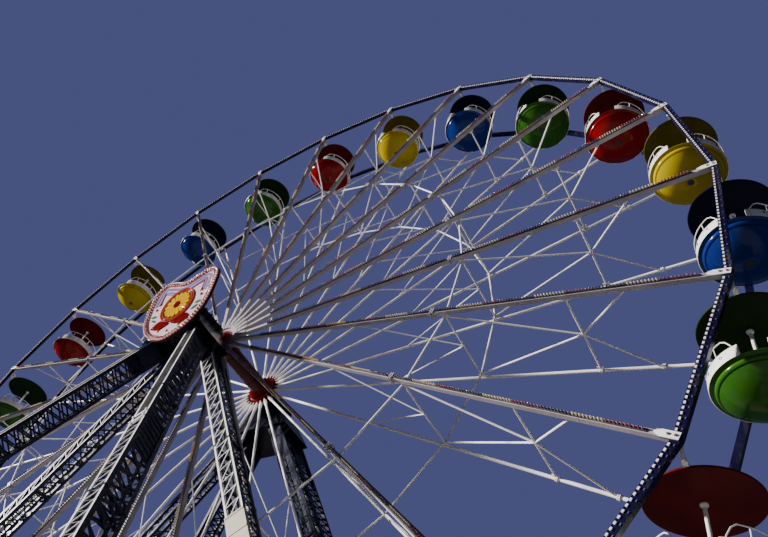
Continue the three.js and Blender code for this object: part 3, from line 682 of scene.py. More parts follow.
def radial(angle):
    """(cos a, 0, sin a)."""
    angle = np.asarray(angle, float)
    return np.stack([np.cos(angle), 0 * angle, np.sin(angle)], -1)


hub_red = painted("hub_red_paint", HUB_RED, HUB_RED_FADED, HUB_GRIME, scale=1.6, wear=0.3, gloss=0.14, shine=0.25)
flange_red = painted(
    "flange_red_paint", FLANGE_RED, FLANGE_RED_FADED, HUB_GRIME, scale=2.4, wear=0.4, gloss=0.2, shine=0.3
)
flange_sunlit_pink = painted("flange_sunlit_pink_paint", FLANGE_SUNLIT_PINK, FLANGE_SUNLIT_PINK_FADED, HUB_GRIME, scale=2.4, wear=0.5, gloss=0.4)
HUB = Z * HUB_Z
hub_parts = Shapes()
hub_parts.add(hub_red, copies(turned(hub_outline, HUB_SIDES), HUB, X, -Z, Y))
spread = node_angle(np.arange(24))
outwards, between = radial(spread), radial(spread + STEP / 2)
# The front flange takes the pinker copy of the flange red as painted sunlight, and the rear one the flange red
for sign, paint in ((-1, flange_sunlit_pink), (1, flange_red)):
    middle = HUB + Y * sign * PLANE_Y
    hub_parts.add(paint, copies(turned(flange_outline, HUB_SIDES), middle, X, -Z, Y))
    for facing in (-1, 1):
        # Tapered ribs between the drum and the flange's inner face, short ones on its outer face, and the foot bolts
        reach = 1.0 if facing == -sign else 0.32
        away = Y * facing
        at = middle + between * DRUM_RADIUS + away * FLANGE_HALF
        thick = np.cross(between, away) * 0.016
        hub_parts.add(paint, copies(prism(rib_profile), at - thick / 2, between, away * reach, thick))
        face = middle + outwards * 0.47 + away * FLANGE_HALF
        hub_parts.add(zinc, bolts(face, away, Z, 0.02))
hub_piece = build("hub_drum", hub_parts, [hub_red, flange_red, flange_sunlit_pink, zinc])
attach(hub_piece, "wheel")
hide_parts("hub")

# Front spokes
# Rectangular steel tubes, bolted together a little past half-way out. A dark strip of lamp holders runs along the
# front of each, with glass caps in groups: red, cream and blue outside the joint, and amber between them inside it.
WHEEL_RADIUS = 16.0
SPOKE_FACE = 0.0647
JOINT_RADIUS = 8.85
JOINT_GAP = 0.12  # there are no lamps nearer than this to the joint
BULB_PITCH = 0.0775
BULB_START, BULB_END = 2.15, 15.42
OUTER_GROUP = 0.72  # length of a group of one colour outside the joint
INNER_GROUP = 0.763
OUTER_ORDER = np.array([2, 1, 0])  # inwards from the rim, as places in the list of colours below
INNER_ORDER = np.array([0, 1, 2, 0, 3, 2, 0, 2])  # inwards from the joint
SILVER = (0.42, 0.385, 0.425, 1)
SILVER_FADED = (0.32, 0.29, 0.32, 1)
STRIP_BLACK = (0.022, 0.02, 0.03, 1)
STRIP_WORN = (0.06, 0.055, 0.07, 1)
CAP_COLOURS = (
    ("blue_cap", (0.006, 0.010, 0.055, 1), 0.03),
    ("cream_cap", (0.62, 0.52, 0.30, 1), 0.10),
    ("red_cap", (0.22, 0.006, 0.032, 1), 0.05),
    ("amber_cap", (0.62, 0.36, 0.04, 1), 0.1),
)
BULB = [(0, 0), (0.017, 0.0), (0.017, 0.012), (0.021, 0.035), (0.019, 0.060), (0.010, 0.075), (0, 0.078)]


def tangential(angle):
    """(-sin a, 0, cos a)."""
    angle = np.asarray(angle, float)
    return np.stack([-np.sin(angle), 0 * angle, np.cos(angle)], -1)


def wheel_point(angle, radius, y):
    """Hub + radius * (cos a, 0, sin a) + y."""
    return HUB + radial(angle) * np.asarray(radius, float)[..., None] + Y * np.asarray(y, float)[..., None]


def spoke_bars(angle, start, stop, y, width, depth, profile=SQUARE):
    """Bars along the spokes at these angles, from one radius to another. Their width is along the tangent."""
    low, high = wheel_point(angle, start, y), wheel_point(angle, stop, y)
    return bars(low, high, tangential(angle), width, depth, profile)


def glass_cap(name, tint, glow):
    """Tinted glass over a reflector: the tint mottled with a paler, dusty copy of it, under a clear coat."""
    material, tree, output, place = blank(name)
    grain = add(tree, "ShaderNodeTexNoise", {"Vector": place, "Scale": 9.0, "Detail": 4.0})
    pale = tuple(0.72 * c + 0.28 * 0.8 for c in tint[:3]) + (1,)
    colour = blend_colour(tree, fade(tree, grain.outputs["Fac"], 0.0, 0.6, 0.35, 0.75), tint, pale)
    rough = fade(tree, grain.outputs["Fac"], 0.12, 0.4, 0.3, 0.8)
    inputs = {"Base Color": colour, "Roughness": rough, "Coat Weight": 0.8, "Coat Roughness": 0.05}
    principled(tree, output, inputs | {"Emission Color": colour, "Emission Strength": glow})
    return material


silver_paint = painted("silver_steel", SILVER, SILVER_FADED, GRIME, scale=0.8, wear=0.5, gloss=0.36, metallic=0.25)
strip_black = painted("lamp_strip", STRIP_BLACK, STRIP_WORN, DUST, scale=1.5, wear=0.3, gloss=0.4, shine=0.2)
caps = [glass_cap(*row) for row in CAP_COLOURS]
refinish(silver_paint, *(f"front_spokes_quarter_{q}" for q in range(1, 5)))
bulb_shape = turned(BULB, 6)
for q in range(4):
    angle = node_angle(q * 6 + np.arange(6))
    parts = Shapes()
    front = -PLANE_Y - SPOKE_FACE
    for start, stop in ((BULB_START - 0.06, JOINT_RADIUS - 0.1), (JOINT_RADIUS + 0.1, BULB_END + 0.06)):
        parts.add(strip_black, spoke_bars(angle, start, stop, front - 0.006, 0.075, 0.02))
    r = np.arange(BULB_START, BULB_END, BULB_PITCH)
    r = r[np.abs(r - JOINT_RADIUS) > JOINT_GAP]
    outer = OUTER_ORDER[((BULB_END - r) / OUTER_GROUP).astype(int) % len(OUTER_ORDER)]
    inner = INNER_ORDER[((JOINT_RADIUS - r) / INNER_GROUP).astype(int) % len(INNER_ORDER)]
    shade = np.where(r > JOINT_RADIUS, outer, inner)
    for number, cap in enumerate(caps):
        a, reach = (v.ravel() for v in np.meshgrid(angle, r[shade == number], indexing="ij"))
        parts.add(cap, copies(bulb_shape, wheel_point(a, reach, front - 0.014), radial(a), tangential(a), -Y))
    lamps = build(f"front_spoke_lamps_{q + 1}", parts, [strip_black, *caps], crease=60)
    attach(lamps, "wheel")
    # Bolted joint: two flanges and four bolts in each spoke, and a clevis plate at its foot
    parts = Shapes()
    for shift in (-0.034, 0.034):
        reach = JOINT_RADIUS + shift
        parts.add(silver_paint, spoke_bars(angle, reach - 0.014, reach + 0.014, -PLANE_Y, 0.20, 0.21))
    for wide in (-0.078, 0.078):
        for deep in (-0.082, 0.082):
            at = wheel_point(angle, JOINT_RADIUS + 0.048, -PLANE_Y + deep) + tangential(angle) * wide
            parts.add(zinc, bolts(at, radial(angle), tangential(angle), 0.02))
    parts.add(silver_paint, spoke_bars(angle, 0.62, 1.15, -PLANE_Y - 0.075, 0.15, 0.02))
    for reach in (0.72, 0.88, 1.04):
        parts.add(zinc, bolts(wheel_point(angle, reach, -PLANE_Y - 0.085), -Y, Z, 0.022))
    joints = build(f"front_spoke_joints_{q + 1}", parts, [silver_paint, zinc])
    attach(joints, "wheel")

# Rear spokes
# Round steel tubes in white paint, spliced with bolted collars three quarters of the way out, with flattened feet
# that are bolted to an arc plate round the rear hub flange.
REAR_RADIUS = 0.044
SPLICE_RADII = (12.5, 14.0)
COLLAR_RADIUS = 0.074
ARC_RADII = (0.5203, 0.68)
ARC_HALF = 0.035
ARC_STEPS = 49
for q in range(4):
    angle = node_angle(q * 6 + np.arange(6))
    parts = Shapes()
    parts.add(white_paint, spoke_bars(angle, 0.60, 15.895, PLANE_Y, 1, 1, ngon(20, REAR_RADIUS)))
    for reach in SPLICE_RADII:
        for at in (reach - 0.022, reach + 0.022):
            parts.add(white_paint, spoke_bars(angle, at - 0.012, at + 0.012, PLANE_Y, 1, 1, ngon(16, COLLAR_RADIUS)))
        for wide, deep in ngon(6, 0.061):
            at = wheel_point(angle, reach + 0.034, PLANE_Y + deep) + tangential(angle) * wide
            parts.add(zinc, bolts(at, radial(angle), tangential(angle), 0.009))
    parts.add(white_paint, spoke_bars(angle, 0.58, 0.95, PLANE_Y, 0.11, 0.05))
    # Pad that carries the cheek plate on the spoke's end
    parts.add(white_paint, spoke_bars(angle, 15.65, 15.88, PLANE_Y + 0.045, 0.08, 0.05))
    # Arc plate: an arc between two radii, closed at both ends
    sweep = np.linspace(node_angle(q * 6) - STEP / 2, node_angle(q * 6 + 5) + STEP / 2, ARC_STEPS)[:, None]
    low, high = ARC_RADII
    section = np.array([(low, -ARC_HALF), (high, -ARC_HALF), (high, ARC_HALF), (low, ARC_HALF)])
    arc = HUB + radial(sweep) * section[:, :1] + Y * (PLANE_Y + section[:, 1:])
    ring = np.arange(4)
    faces = [grid(ARC_STEPS, 4), ring[None], ring[None, ::-1] + (ARC_STEPS - 1) * 4]
    parts.add(hub_red, (arc.reshape(-1, 3), [f[:, ::-1] for f in faces]))
    for reach in (0.61, 0.78, 0.92):
        parts.add(zinc, bolts(wheel_point(angle, reach, PLANE_Y + 0.04), Y, Z, 0.02))
    spokes = build(f"rear_spokes_{q + 1}", parts, [white_paint, zinc, hub_red])
    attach(spokes, "wheel")
    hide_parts(f"rear_spokes_quarter_{q + 1}")

# Cross frames
# Thin white tubes between the front and rear spokes, with braces that fan out from the middle of the outer one, joined
# by two tie rings. Gusset plates bolt them to the spokes.
TIE_RADIUS = 9.15
CROSS_RADIUS = 12.5
INNER_BRACE_RADIUS = 6.1
OUTER_BRACE_RADIUS = 13.9
FRAME_REACH = 1.175
FRAME_TUBE = 0.026
RING_Y = 1.13
RING_TUBE = 0.029
BRACE_TUBE = 0.019


def tubes(starts, ends, side, radius):
    """Round tubes from start to end."""
    return bars(starts, ends, side, radius, radius, ngon(10, 1.0))


for q in range(4):
    k = q * 6 + np.arange(6)
    angle = node_angle(k)
    side = tangential(angle)
    parts = Shapes()
    inner_middle, outer_middle = wheel_point(angle, TIE_RADIUS, 0), wheel_point(angle, CROSS_RADIUS, 0)
    for reach in (TIE_RADIUS, CROSS_RADIUS):
        low, high = wheel_point(angle, reach, -FRAME_REACH), wheel_point(angle, reach, FRAME_REACH)
        parts.add(white_paint, tubes(low, high, side, FRAME_TUBE))
    for sign in (-1, 1):
        brace = wheel_point(angle, TIE_RADIUS, sign * (PLANE_Y - 0.15))
        parts.add(white_paint, tubes(outer_middle, brace, side, FRAME_TUBE))
        spoke_end = wheel_point(angle, OUTER_BRACE_RADIUS, sign * (PLANE_Y - 0.055))
        parts.add(white_paint, tubes(outer_middle, spoke_end, side, FRAME_TUBE))
        low = wheel_point(angle, TIE_RADIUS, sign * RING_Y)
        high = wheel_point(node_angle(k + 1), TIE_RADIUS, sign * RING_Y)
        parts.add(white_paint, tubes(low, high, Y, RING_TUBE))
        foot = wheel_point(angle, INNER_BRACE_RADIUS, sign * (PLANE_Y - 0.05))
        parts.add(white_paint, tubes(inner_middle, foot, side, BRACE_TUBE))
        # Gusset plates on the spokes at each cross tube
        for reach in (TIE_RADIUS, CROSS_RADIUS):
            gusset = spoke_bars(angle, reach - 0.09, reach + 0.09, sign * (PLANE_Y - 0.10), 0.012, 0.09)
            parts.add(white_paint, gusset)
    cross = build(f"cross_bracing_{q + 1}", parts, [white_paint])
    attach(cross, "wheel")
    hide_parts(f"cross_frames_quarter_{q + 1}")

# Rims
# Navy box-section rims in 24 straight lengths. Each node has a white cheek plate with a tapered foot and two bolts
# over the spoke's end, and the front rim's face carries a row of white lamp blocks with small clips beside it.
RIM_FACE = 0.07
ROW_INSET = 0.045  # of the lamps inwards, and of the clips outwards, from the line between the nodes
LAMP_PITCH = 0.12
LAMP_LENGTH = 0.054
LAMP_WIDTH = 0.036
CLIP_PITCH = 0.24
CLIP_LENGTH = 0.044
PLATE_LOW, PLATE_HIGH = 15.60, 16.055
PLATE_WIDTH = 0.155
PLATE_BOLTS = (15.85, 15.985)
RIM_NAVY = (0.0035, 0.0028, 0.016, 1)
RIM_NAVY_FADED = (0.007, 0.0055, 0.028, 1)
LAMP_WHITE = (0.70, 0.66, 0.72, 1)
CLIP_BLUE = (0.04, 0.045, 0.13, 1)
CLIP_BLUE_FADED = (0.07, 0.075, 0.18, 1)
rim_paint = painted("rim_navy", RIM_NAVY, RIM_NAVY_FADED, GRIME, scale=0.9, wear=0.25, gloss=0.25, shine=0.12)
refinish(rim_paint, "front_rim", "rear_rim")
taper = PLATE_LOW + 0.12
plate_profile = mirrored(
    [(PLATE_LOW, -0.022), (PLATE_LOW + 0.03, -0.03), (taper, -PLATE_WIDTH / 2), (PLATE_HIGH, -PLATE_WIDTH / 2)]
)
clip_blue = painted("clip_paint", CLIP_BLUE, CLIP_BLUE_FADED, GRIME, scale=3.0, wear=0.3, gloss=0.4)
lamp_white = glass_cap("white_lamp", LAMP_WHITE, 0.12)


def rim_blocks(steps, inset, out, length, width, depth):
    """Blocks along the front rim's face, at these distances from the first node of every length."""
    angle = node_angle(np.arange(24))
    first = wheel_point(angle, WHEEL_RADIUS, -PLANE_Y)[:, None]
    last = wheel_point(angle + STEP, WHEEL_RADIUS, -PLANE_Y)[:, None]
    run, inward = unit(last - first), -radial(angle + STEP / 2)[:, None]
    at = first + run * steps[None, :, None] + inward * inset - Y * out
    run, inward = (np.broadcast_to(v, at.shape).reshape(-1, 3) for v in (run, inward))
    at, half = at.reshape(-1, 3), run * length / 2
    return bars(at - half, at + half, inward, width, depth)


for end, sign in (("front", -1), ("rear", 1)):
    angle = node_angle(np.arange(24))
    # The front plates lie over those of the spokes, and the rear ones are as thick as both
    low, high = (0.0895, 0.1015) if end == "front" else (0.0705, 0.1015)
    face = wheel_point(angle, 0.0, sign * (PLANE_Y + low))
    across = np.cross(Y * sign, radial(angle))
    parts = Shapes()
    parts.add(white_paint, copies(prism(plate_profile), face, radial(angle), across, Y * sign * (high - low)))
    for reach in PLATE_BOLTS:
        parts.add(dark_iron, bolts(wheel_point(angle, reach, sign * (PLANE_Y + high)), Y * sign, Z, 0.030))
    if end == "front":
        steps = np.arange(0.14, 4.10, LAMP_PITCH)
        parts.add(lamp_white, rim_blocks(steps, ROW_INSET, RIM_FACE, LAMP_LENGTH, LAMP_WIDTH, 0.045))
        steps = np.arange(0.16, 4.06, CLIP_PITCH)
        parts.add(clip_blue, rim_blocks(steps, -ROW_INSET, RIM_FACE + 0.004, CLIP_LENGTH, 0.022, 0.02))
    fittings = build(f"{end}_rim_fittings", parts, [white_paint, dark_iron, lamp_white, clip_blue])
    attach(fittings, "wheel")

# Gondolas
# Glossy fibreglass bowls in four colours, with a bead under a flat lip, white backs with a gap for each door, thin
# hand rails, a centre pole and a shallow round roof. Narrow white hangers carry the roof on the rim's pins.
TUB_SIDES = 48
DOOR_HALF_ANGLE = math.radians(15)
BOWL_ROUND = 1.27  # radius of the sphere that the bowl is part of
BOWL_CENTRE = -1.1536
BOWL_RADIUS = 0.845
CABIN_PAINTS = {
    "red": ((0.21, 0.0015, 0.003, 1), (0.19, 0.002, 0.004, 1)),
    "green": ((0.022, 0.098, 0.007, 1), (0.024, 0.102, 0.009, 1)),
    "blue": ((0.006, 0.020, 0.150, 1), (0.007, 0.023, 0.155, 1)),
    "yellow": ((0.42, 0.315, 0.002, 1), (0.39, 0.295, 0.003, 1)),
}
CABIN_ORDER = ("blue", "yellow", "red", "green")
# How dark the roof's underside and edge are painted, as a share of the shell's colour: painted shade
ROOF_SHADE_SHARE = {"red": 0.32, "green": 0.16, "blue": 0.10, "yellow": 0.16}
SHELL, ROOF_SHADE, TRIM, BODY, BENCH, BOLTS = range(6)  # places in the list of a gondola's finishes
rise = np.linspace(math.asin(0.125 / BOWL_ROUND), math.asin(BOWL_RADIUS / BOWL_ROUND), 16)
bowl = np.stack([BOWL_ROUND * np.sin(rise), BOWL_CENTRE - BOWL_ROUND * np.cos(rise)], -1)
tub_outline = [
    (0, -2.402), (0.10, -2.402), (0.115, -2.414), *bowl.tolist(),
    (0.838, -2.090), (0.822, -2.080), (0.826, -2.068), (0.850, -2.072), (0.872, -2.074), (0.893, -2.062),
    (0.908, -2.042), (0.915, -2.018), (0.914, -1.998), (0.904, -1.986), (0.985, -1.962), (1.002, -1.956),
    (1.004, -1.948), (0.998, -1.941), (0.93, -1.941), (0.90, -1.96), (0.83, -2.04), (0.54, -2.22), (0, -2.25),
]
roof_outline = [
    (0, -0.37), (0.97, -0.37), (0.985, -0.36), (0.99, -0.335), (0.60, -0.262), (0.20, -0.19), (0.17, -0.165),
    (0, -0.158),
]
# The roof's underside and edge, which carry the painted shade
under_outline = [(0, -0.393), (1.0, -0.393), (1.010, -0.384), (1.010, -0.352), (1.0, -0.342), (0, -0.342)]
hatch_outline = [(0, -2.409), (0.088, -2.409), (0.092, -2.404), (0.092, -2.400), (0, -2.400)]
stub_outline = [(0, -0.20), (0.10, -0.20), (0.10, -0.13), (0.06, -0.11), (0.055, -0.08), (0, -0.08)]
pole_outline = [
    (0, -2.28), (0.10, -2.28), (0.10, -2.235), (0.045, -2.22), (0.038, -2.21), (0.038, -1.30), (0.044, -1.295),
    (0.044, -1.255), (0.038, -1.25), (0.038, -0.47), (0.075, -0.42), (0.075, -0.38), (0, -0.38),
]


def arc_band(section, start, stop, steps):
    """r (cos a, sin a) and height, for a closed section of (r, height) and a from start to stop, with flat ends."""
    section = np.asarray(section, float)
    count = len(section)
    angle = np.linspace(start, stop, steps)
    flat = section[:, None, :1] * np.stack([np.cos(angle), np.sin(angle)], -1)[None]
    height = np.broadcast_to(section[:, None, 1:], (count, steps, 1))
    points = np.concatenate([flat, height], -1).reshape(-1, 3)
    ring = np.arange(count) * steps
    faces = [grid(count, steps, True, False), ring[None], ring[None, ::-1] + steps - 1]
    return points, faces


def swept(path, profile, side):
    """Profile carried along a path: path + across * px + up * py, square to the path, with flat ends."""
    path = np.asarray(path, float)
    along = unit(np.gradient(path, axis=0))
    side = np.broadcast_to(np.asarray(side, float), path.shape)
    across = square_to(side, along)
    up = np.cross(along, across)
    points = path[:, None] + across[:, None] * profile[:, :1] + up[:, None] * profile[:, 1:]
    ring = np.arange(len(profile))
    last = (len(path) - 1) * len(profile)
    return points.reshape(-1, 3), [grid(len(path), len(profile)), ring[None, ::-1], ring[None] + last]


back_section = [
    (0.985, -1.95), (1.008, -1.962), (1.013, -1.955), (1.012, -1.80), (1.003, -1.69), (0.990, -1.662), (0.960, -1.658),
    (0.942, -1.68), (0.945, -1.94),
]
bench_section = [(0.55, -2.23), (0.90, -1.985), (0.905, -1.952), (0.56, -1.952), (0.53, -1.97), (0.52, -2.21)]
rail_profile = ngon(6, 0.013)
RAIL_HEIGHT = -1.42
RAIL_RADIUS = 1.0
RAIL_INSET = 0.10  # angle between the end of a back and the end of its rail
WHEEL_RING = 0.27
WHEEL_HEIGHT = -1.72


def around(angle):
    """(cos a, sin a, 0)."""
    return np.stack([np.cos(angle), np.sin(angle), 0 * angle], -1)


gondola_shapes = Shapes()
for turned_outline, sides, place in (
    (tub_outline, TUB_SIDES, SHELL), (roof_outline, TUB_SIDES, SHELL), (under_outline, TUB_SIDES, ROOF_SHADE),
    (hatch_outline, 16, TRIM), (stub_outline, 12, TRIM), (pole_outline, 16, BODY),
):
    gondola_shapes.add(place, turned(turned_outline, sides))
for centre in (0, math.pi):
    start, stop = centre - math.pi / 2 + DOOR_HALF_ANGLE, centre + math.pi / 2 - DOOR_HALF_ANGLE
    gondola_shapes.add(BODY, arc_band(back_section, start, stop, 30))
    gondola_shapes.add(BENCH, arc_band(bench_section, start, stop, 22))
    # Hand rail: an arc above the back rail that curves down at both ends, on three posts
    t = np.linspace(0, 1, 26)
    turn = start + RAIL_INSET + (stop - start - 2 * RAIL_INSET) * t
    drop = 0.24 * (1 - np.minimum(1, np.minimum(t, 1 - t) / 0.08) ** 0.5)
    path = around(turn) * RAIL_RADIUS + Z * (RAIL_HEIGHT - drop)[:, None]
    gondola_shapes.add(BODY, swept(path, rail_profile, Z))
    out = around(start + RAIL_INSET + (stop - start - 2 * RAIL_INSET) * np.array([0.16, 0.50, 0.84]))
    low, high = out * 0.975 + Z * -1.70, out * RAIL_RADIUS + Z * RAIL_HEIGHT
    gondola_shapes.add(BODY, bars(low, high, X + Y * 0.2, 1, 1, ngon(6, 0.011)))
    # Round marks on the outside of the back rail
    marks = centre + np.array([-0.95, -0.5, 0.0, 0.5, 0.95])
    out = around(marks)
    ring_mark = turned([(0.032, 0), (0.026, 0), (0.026, 0.012), (0.032, 0.012)], 12)
    ring_mark = (ring_mark[0], [f[:, ::-1] for f in ring_mark[1]])
    sideways = np.stack([-np.sin(marks), np.cos(marks), 0 * marks], -1)
    gondola_shapes.add(TRIM, copies(ring_mark, out * 1.008 + Z * -1.80, sideways, Z, out))
# Hand wheel on the pole
turn = np.linspace(0, 2 * math.pi, 25)[:-1]
tube = ngon(6, 0.017)[:, None]
wheel_ring = around(turn) * (WHEEL_RING + tube[..., :1]) + Z * (WHEEL_HEIGHT + tube[..., 1:])
gondola_shapes.add(BODY, (wheel_ring.reshape(-1, 3), [grid(6, 24, round_rows=True)]))
ends = around(2 * math.pi * np.arange(3) / 3) * WHEEL_RING + Z * WHEEL_HEIGHT
gondola_shapes.add(BODY, bars(ends * (0.18, 0.18, 1), ends, Z, 0.022, 0.022))
for sign in (-1, 1):
    # Hanger: a plate with a rounded eye on the pin, a foot on the roof's edge, and a gusset between them
    eye_angle = np.linspace(0, math.pi, 13)
    head = np.stack([0.058 * np.cos(eye_angle), 0.058 * np.sin(eye_angle)], -1)
    plate = np.concatenate([head, [(-0.028, -0.11), (-0.028, -0.37), (0.028, -0.37), (0.028, -0.11)]])
    count = len(plate)
    low, high = sorted((sign * 1.146, sign * 1.2045))
    points = np.concatenate([np.stack([plate[:, 0], np.full(count, y), plate[:, 1]], -1) for y in (high, low)])
    ring = np.arange(count)
    gondola_shapes.add(BODY, (points, [grid(2, count), ring[None, ::-1], ring[None] + count]))
    gondola_shapes.add(BODY, bars((0, sign * 1.16, -0.33), (0, sign * 0.71, -0.33), X, 0.09, 0.078))
    gondola_shapes.add(BODY, bars((0, sign * 0.90, -0.30), (0, sign * 1.16, -0.10), X, 0.02, 0.05))
    at = np.array([(x, sign * y, -0.291) for x in (-0.026, 0.026) for y in (0.78, 0.92)])
    gondola_shapes.add(BOLTS, bolts(at, Z, X, 0.018))
    pin_cap = turned([(0, 0), (0.045, 0), (0.045, 0.012), (0.03, 0.022), (0, 0.022)], 12)
    gondola_shapes.add(BOLTS, copies(pin_cap, (0, sign * 1.146, 0), X, -Z * -sign, -Y * sign))

cabin_white = painted("cabin_white", (0.83, 0.82, 0.79, 1), (0.72, 0.70, 0.66, 1), GRIME, 2.2, 0.35, 0.3, coat=0.3)
cabin_dark = painted("cabin_trim", (0.014, 0.012, 0.016, 1), (0.03, 0.028, 0.03, 1), DUST, 3.0, 0.3, 0.5)
bench_grey = painted("bench_grey", (0.30, 0.30, 0.31, 1), (0.24, 0.23, 0.23, 1), GRIME, 3.0, 0.4, 0.5)
ROOF_SHADE_DIRT = (0.01, 0.01, 0.01, 1)
finishes = {}
for colour, (paint, faded) in CABIN_PAINTS.items():
    dust = tuple(0.7 * c + 0.01 for c in paint[:3]) + (1,)
    shell = painted(f"gloss_{colour}", paint, faded, dust, 1.4, 0.08, 0.14, bump=0.0005, shine=0.2)
    # The roof's underside and edge take a darkened copy of the shell's colour: painted shade under the roof
    share = ROOF_SHADE_SHARE[colour]
    dim = tuple(share * c + 0.0012 for c in paint[:3]) + (1,)
    dim_faded = tuple(1.3 * share * c + 0.0015 for c in paint[:3]) + (1,)
    roof_shade = painted(f"roof_painted_shade_{colour}", dim, dim_faded, ROOF_SHADE_DIRT, 2.0, 0.3, 0.45, shine=0.08)
    finishes[colour] = [shell, roof_shade, cabin_dark, cabin_white, bench_grey, zinc]
for k in range(24):
    colour = CABIN_ORDER[k % 4]
    number = f"{k + 1:02d}"
    pin = wheel_point(node_angle(k), WHEEL_RADIUS, 0.0)
    placed = [(points + pin, faces, finishes[colour][place]) for points, faces, place in gondola_shapes]
    cabin = build(f"gondola_{number}_shell", placed, finishes[colour])
    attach(cabin, f"gondola_{number}")
    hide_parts(f"gondola_{number}_{colour}")

# Hub sign
# A shield-shaped lamp board in front of the hub, leaning out at the top: enamelled steel with a double row of lamps
# round its edge, a band along its top, and a rosette over two fluted fans.
SIGN_WIDTH = 3.0
SIGN_HUMP = 1.44
SIGN_DIP = 1.17
SIGN_POINT = 1.47
SIGN_THICKNESS = 0.06
SIGN_LEAN = math.radians(8)
SIGN_AT = np.array((0, -3.40, HUB_Z - 0.5))
SIGN_RIGHT = X
SIGN_UP = np.array((0, -math.sin(SIGN_LEAN), math.cos(SIGN_LEAN)))
SIGN_OUT = np.array((0, -math.cos(SIGN_LEAN), -math.sin(SIGN_LEAN)))
half = np.array(
    [
        (0, SIGN_DIP), (0.17 * SIGN_WIDTH, 0.92 * SIGN_HUMP), (0.31 * SIGN_WIDTH, SIGN_HUMP),
        (0.42 * SIGN_WIDTH, 0.93 * SIGN_HUMP), (0.485 * SIGN_WIDTH, 0.76 * SIGN_HUMP),
        (0.5 * SIGN_WIDTH, 0.45 * SIGN_HUMP), (0.49 * SIGN_WIDTH, 0), (0.45 * SIGN_WIDTH, -0.33 * SIGN_POINT),
        (0.34 * SIGN_WIDTH, -0.68 * SIGN_POINT), (0.17 * SIGN_WIDTH, -0.9 * SIGN_POINT), (0, -SIGN_POINT),
    ]
)


def smooth_loop(corners, steps):
    """A closed curve through the corners: with p, q, r, s in turn and t from 0 to 1, it is q + (r - p) t / 2 +
    (p - 5/2 q + 2 r - s / 2) t^2 + (3/2 (q - r) + (s - p) / 2) t^3."""
    p, q, r, s = (np.roll(corners, shift, 0)[:, None] for shift in (1, 0, -1, -2))
    t = (np.arange(steps) / steps)[None, :, None]
    curve = q + (r - p) * t / 2 + (p - 2.5 * q + 2 * r - s / 2) * t**2 + (1.5 * (q - r) + (s - p) / 2) * t**3
    return curve.reshape(-1, 2)


def inset(loop, distance):
    """Loop moved inwards along its normals, (y, -x) of the tangent for a loop that runs anticlockwise."""
    run = unit(np.roll(loop, -1, 0) - np.roll(loop, 1, 0))
    return loop - np.stack([run[:, 1], -run[:, 0]], -1) * distance


def on_sign(flat, out):
    """Sign's place + right * u + up * v + out * height."""
    flat = np.atleast_2d(flat)
    out = np.broadcast_to(np.asarray(out, float), flat.shape[:1])[:, None]
    return SIGN_AT + SIGN_RIGHT * flat[:, :1] + SIGN_UP * flat[:, 1:] + SIGN_OUT * out


def sign_band(outer, inner, low, high):
    """A raised band between two loops, closed round its four sides."""
    rows = [(outer, low), (outer, high), (inner, high), (inner, low)]
    return np.concatenate([on_sign(loop, out) for loop, out in rows]), [grid(4, len(outer), round_rows=True)]


def sign_plate(loop, low, high):
    """A flat plate inside a loop."""
    ring = np.arange(len(loop))
    points = np.concatenate([on_sign(loop, low), on_sign(loop, high)])
    return points, [grid(2, len(loop)), ring[None, ::-1], ring[None] + len(loop)]


def turned_about(shape, flat, out, a, thickness):
    """Copies of a flat shape on the sign, each turned by one of the angles: u' = u cos a - v sin a and
    v' = u sin a + v cos a."""
    a = np.asarray(a)[:, None]
    across, up = SIGN_RIGHT * np.cos(a) + SIGN_UP * np.sin(a), SIGN_UP * np.cos(a) - SIGN_RIGHT * np.sin(a)
    return copies(prism(shape), on_sign(flat, out), across, up, SIGN_OUT * thickness)


# The corners run anticlockwise: down the left side, and up the right one
corners = np.concatenate([half * (-1, 1), half[-2:0:-1]])
outline = smooth_loop(corners, 8)
enamel = {
    name: painted(f"enamel_{name}", paint, faded, GRIME, 2.6, 0.10, 0.10, bump=0.0005, shine=0.12)
    for name, paint, faded in (
        ("peach", (0.50, 0.22, 0.22, 1), (0.40, 0.15, 0.15, 1)),
        ("blush", (0.70, 0.52, 0.60, 1), (0.62, 0.44, 0.54, 1)),
        ("lilac", (0.22, 0.17, 0.34, 1), (0.18, 0.14, 0.30, 1)),
        ("crimson", (0.15, 0.001, 0.002, 1), (0.11, 0.002, 0.003, 1)),
        ("yellow", (0.60, 0.35, 0.003, 1), (0.54, 0.29, 0.004, 1)),
        ("green", (0.03, 0.20, 0.07, 1), (0.04, 0.16, 0.07, 1)),
        ("orange", (0.36, 0.05, 0.02, 1), (0.30, 0.04, 0.02, 1)),
        ("olive", (0.07, 0.05, 0.012, 1), (0.10, 0.07, 0.02, 1)),
        ("oxblood", (0.050, 0.008, 0.006, 1), (0.08, 0.014, 0.010, 1)),
    )
}
coral_cap = glass_cap("coral_cap", (0.72, 0.34, 0.30, 1), 0.25)
wine_cap = glass_cap("wine_cap", (0.20, 0.006, 0.012, 1), 0.02)
sign_parts = Shapes()
sign_parts.add(enamel["oxblood"], sign_plate(outline, -SIGN_THICKNESS, 0))
sign_parts.add(enamel["oxblood"], sign_band(inset(outline, 0.01), inset(outline, 0.115), 0, 0.02))
sign_parts.add(enamel["peach"], sign_band(inset(outline, 0.115), inset(outline, 0.225), 0, 0.024))
sign_parts.add(enamel["blush"], sign_plate(inset(outline, 0.22), 0, 0.012))
dome = turned([(0, 0), (0.036, 0), (0.038, 0.02), (0.03, 0.045), (0.012, 0.056), (0, 0.058)], 8)
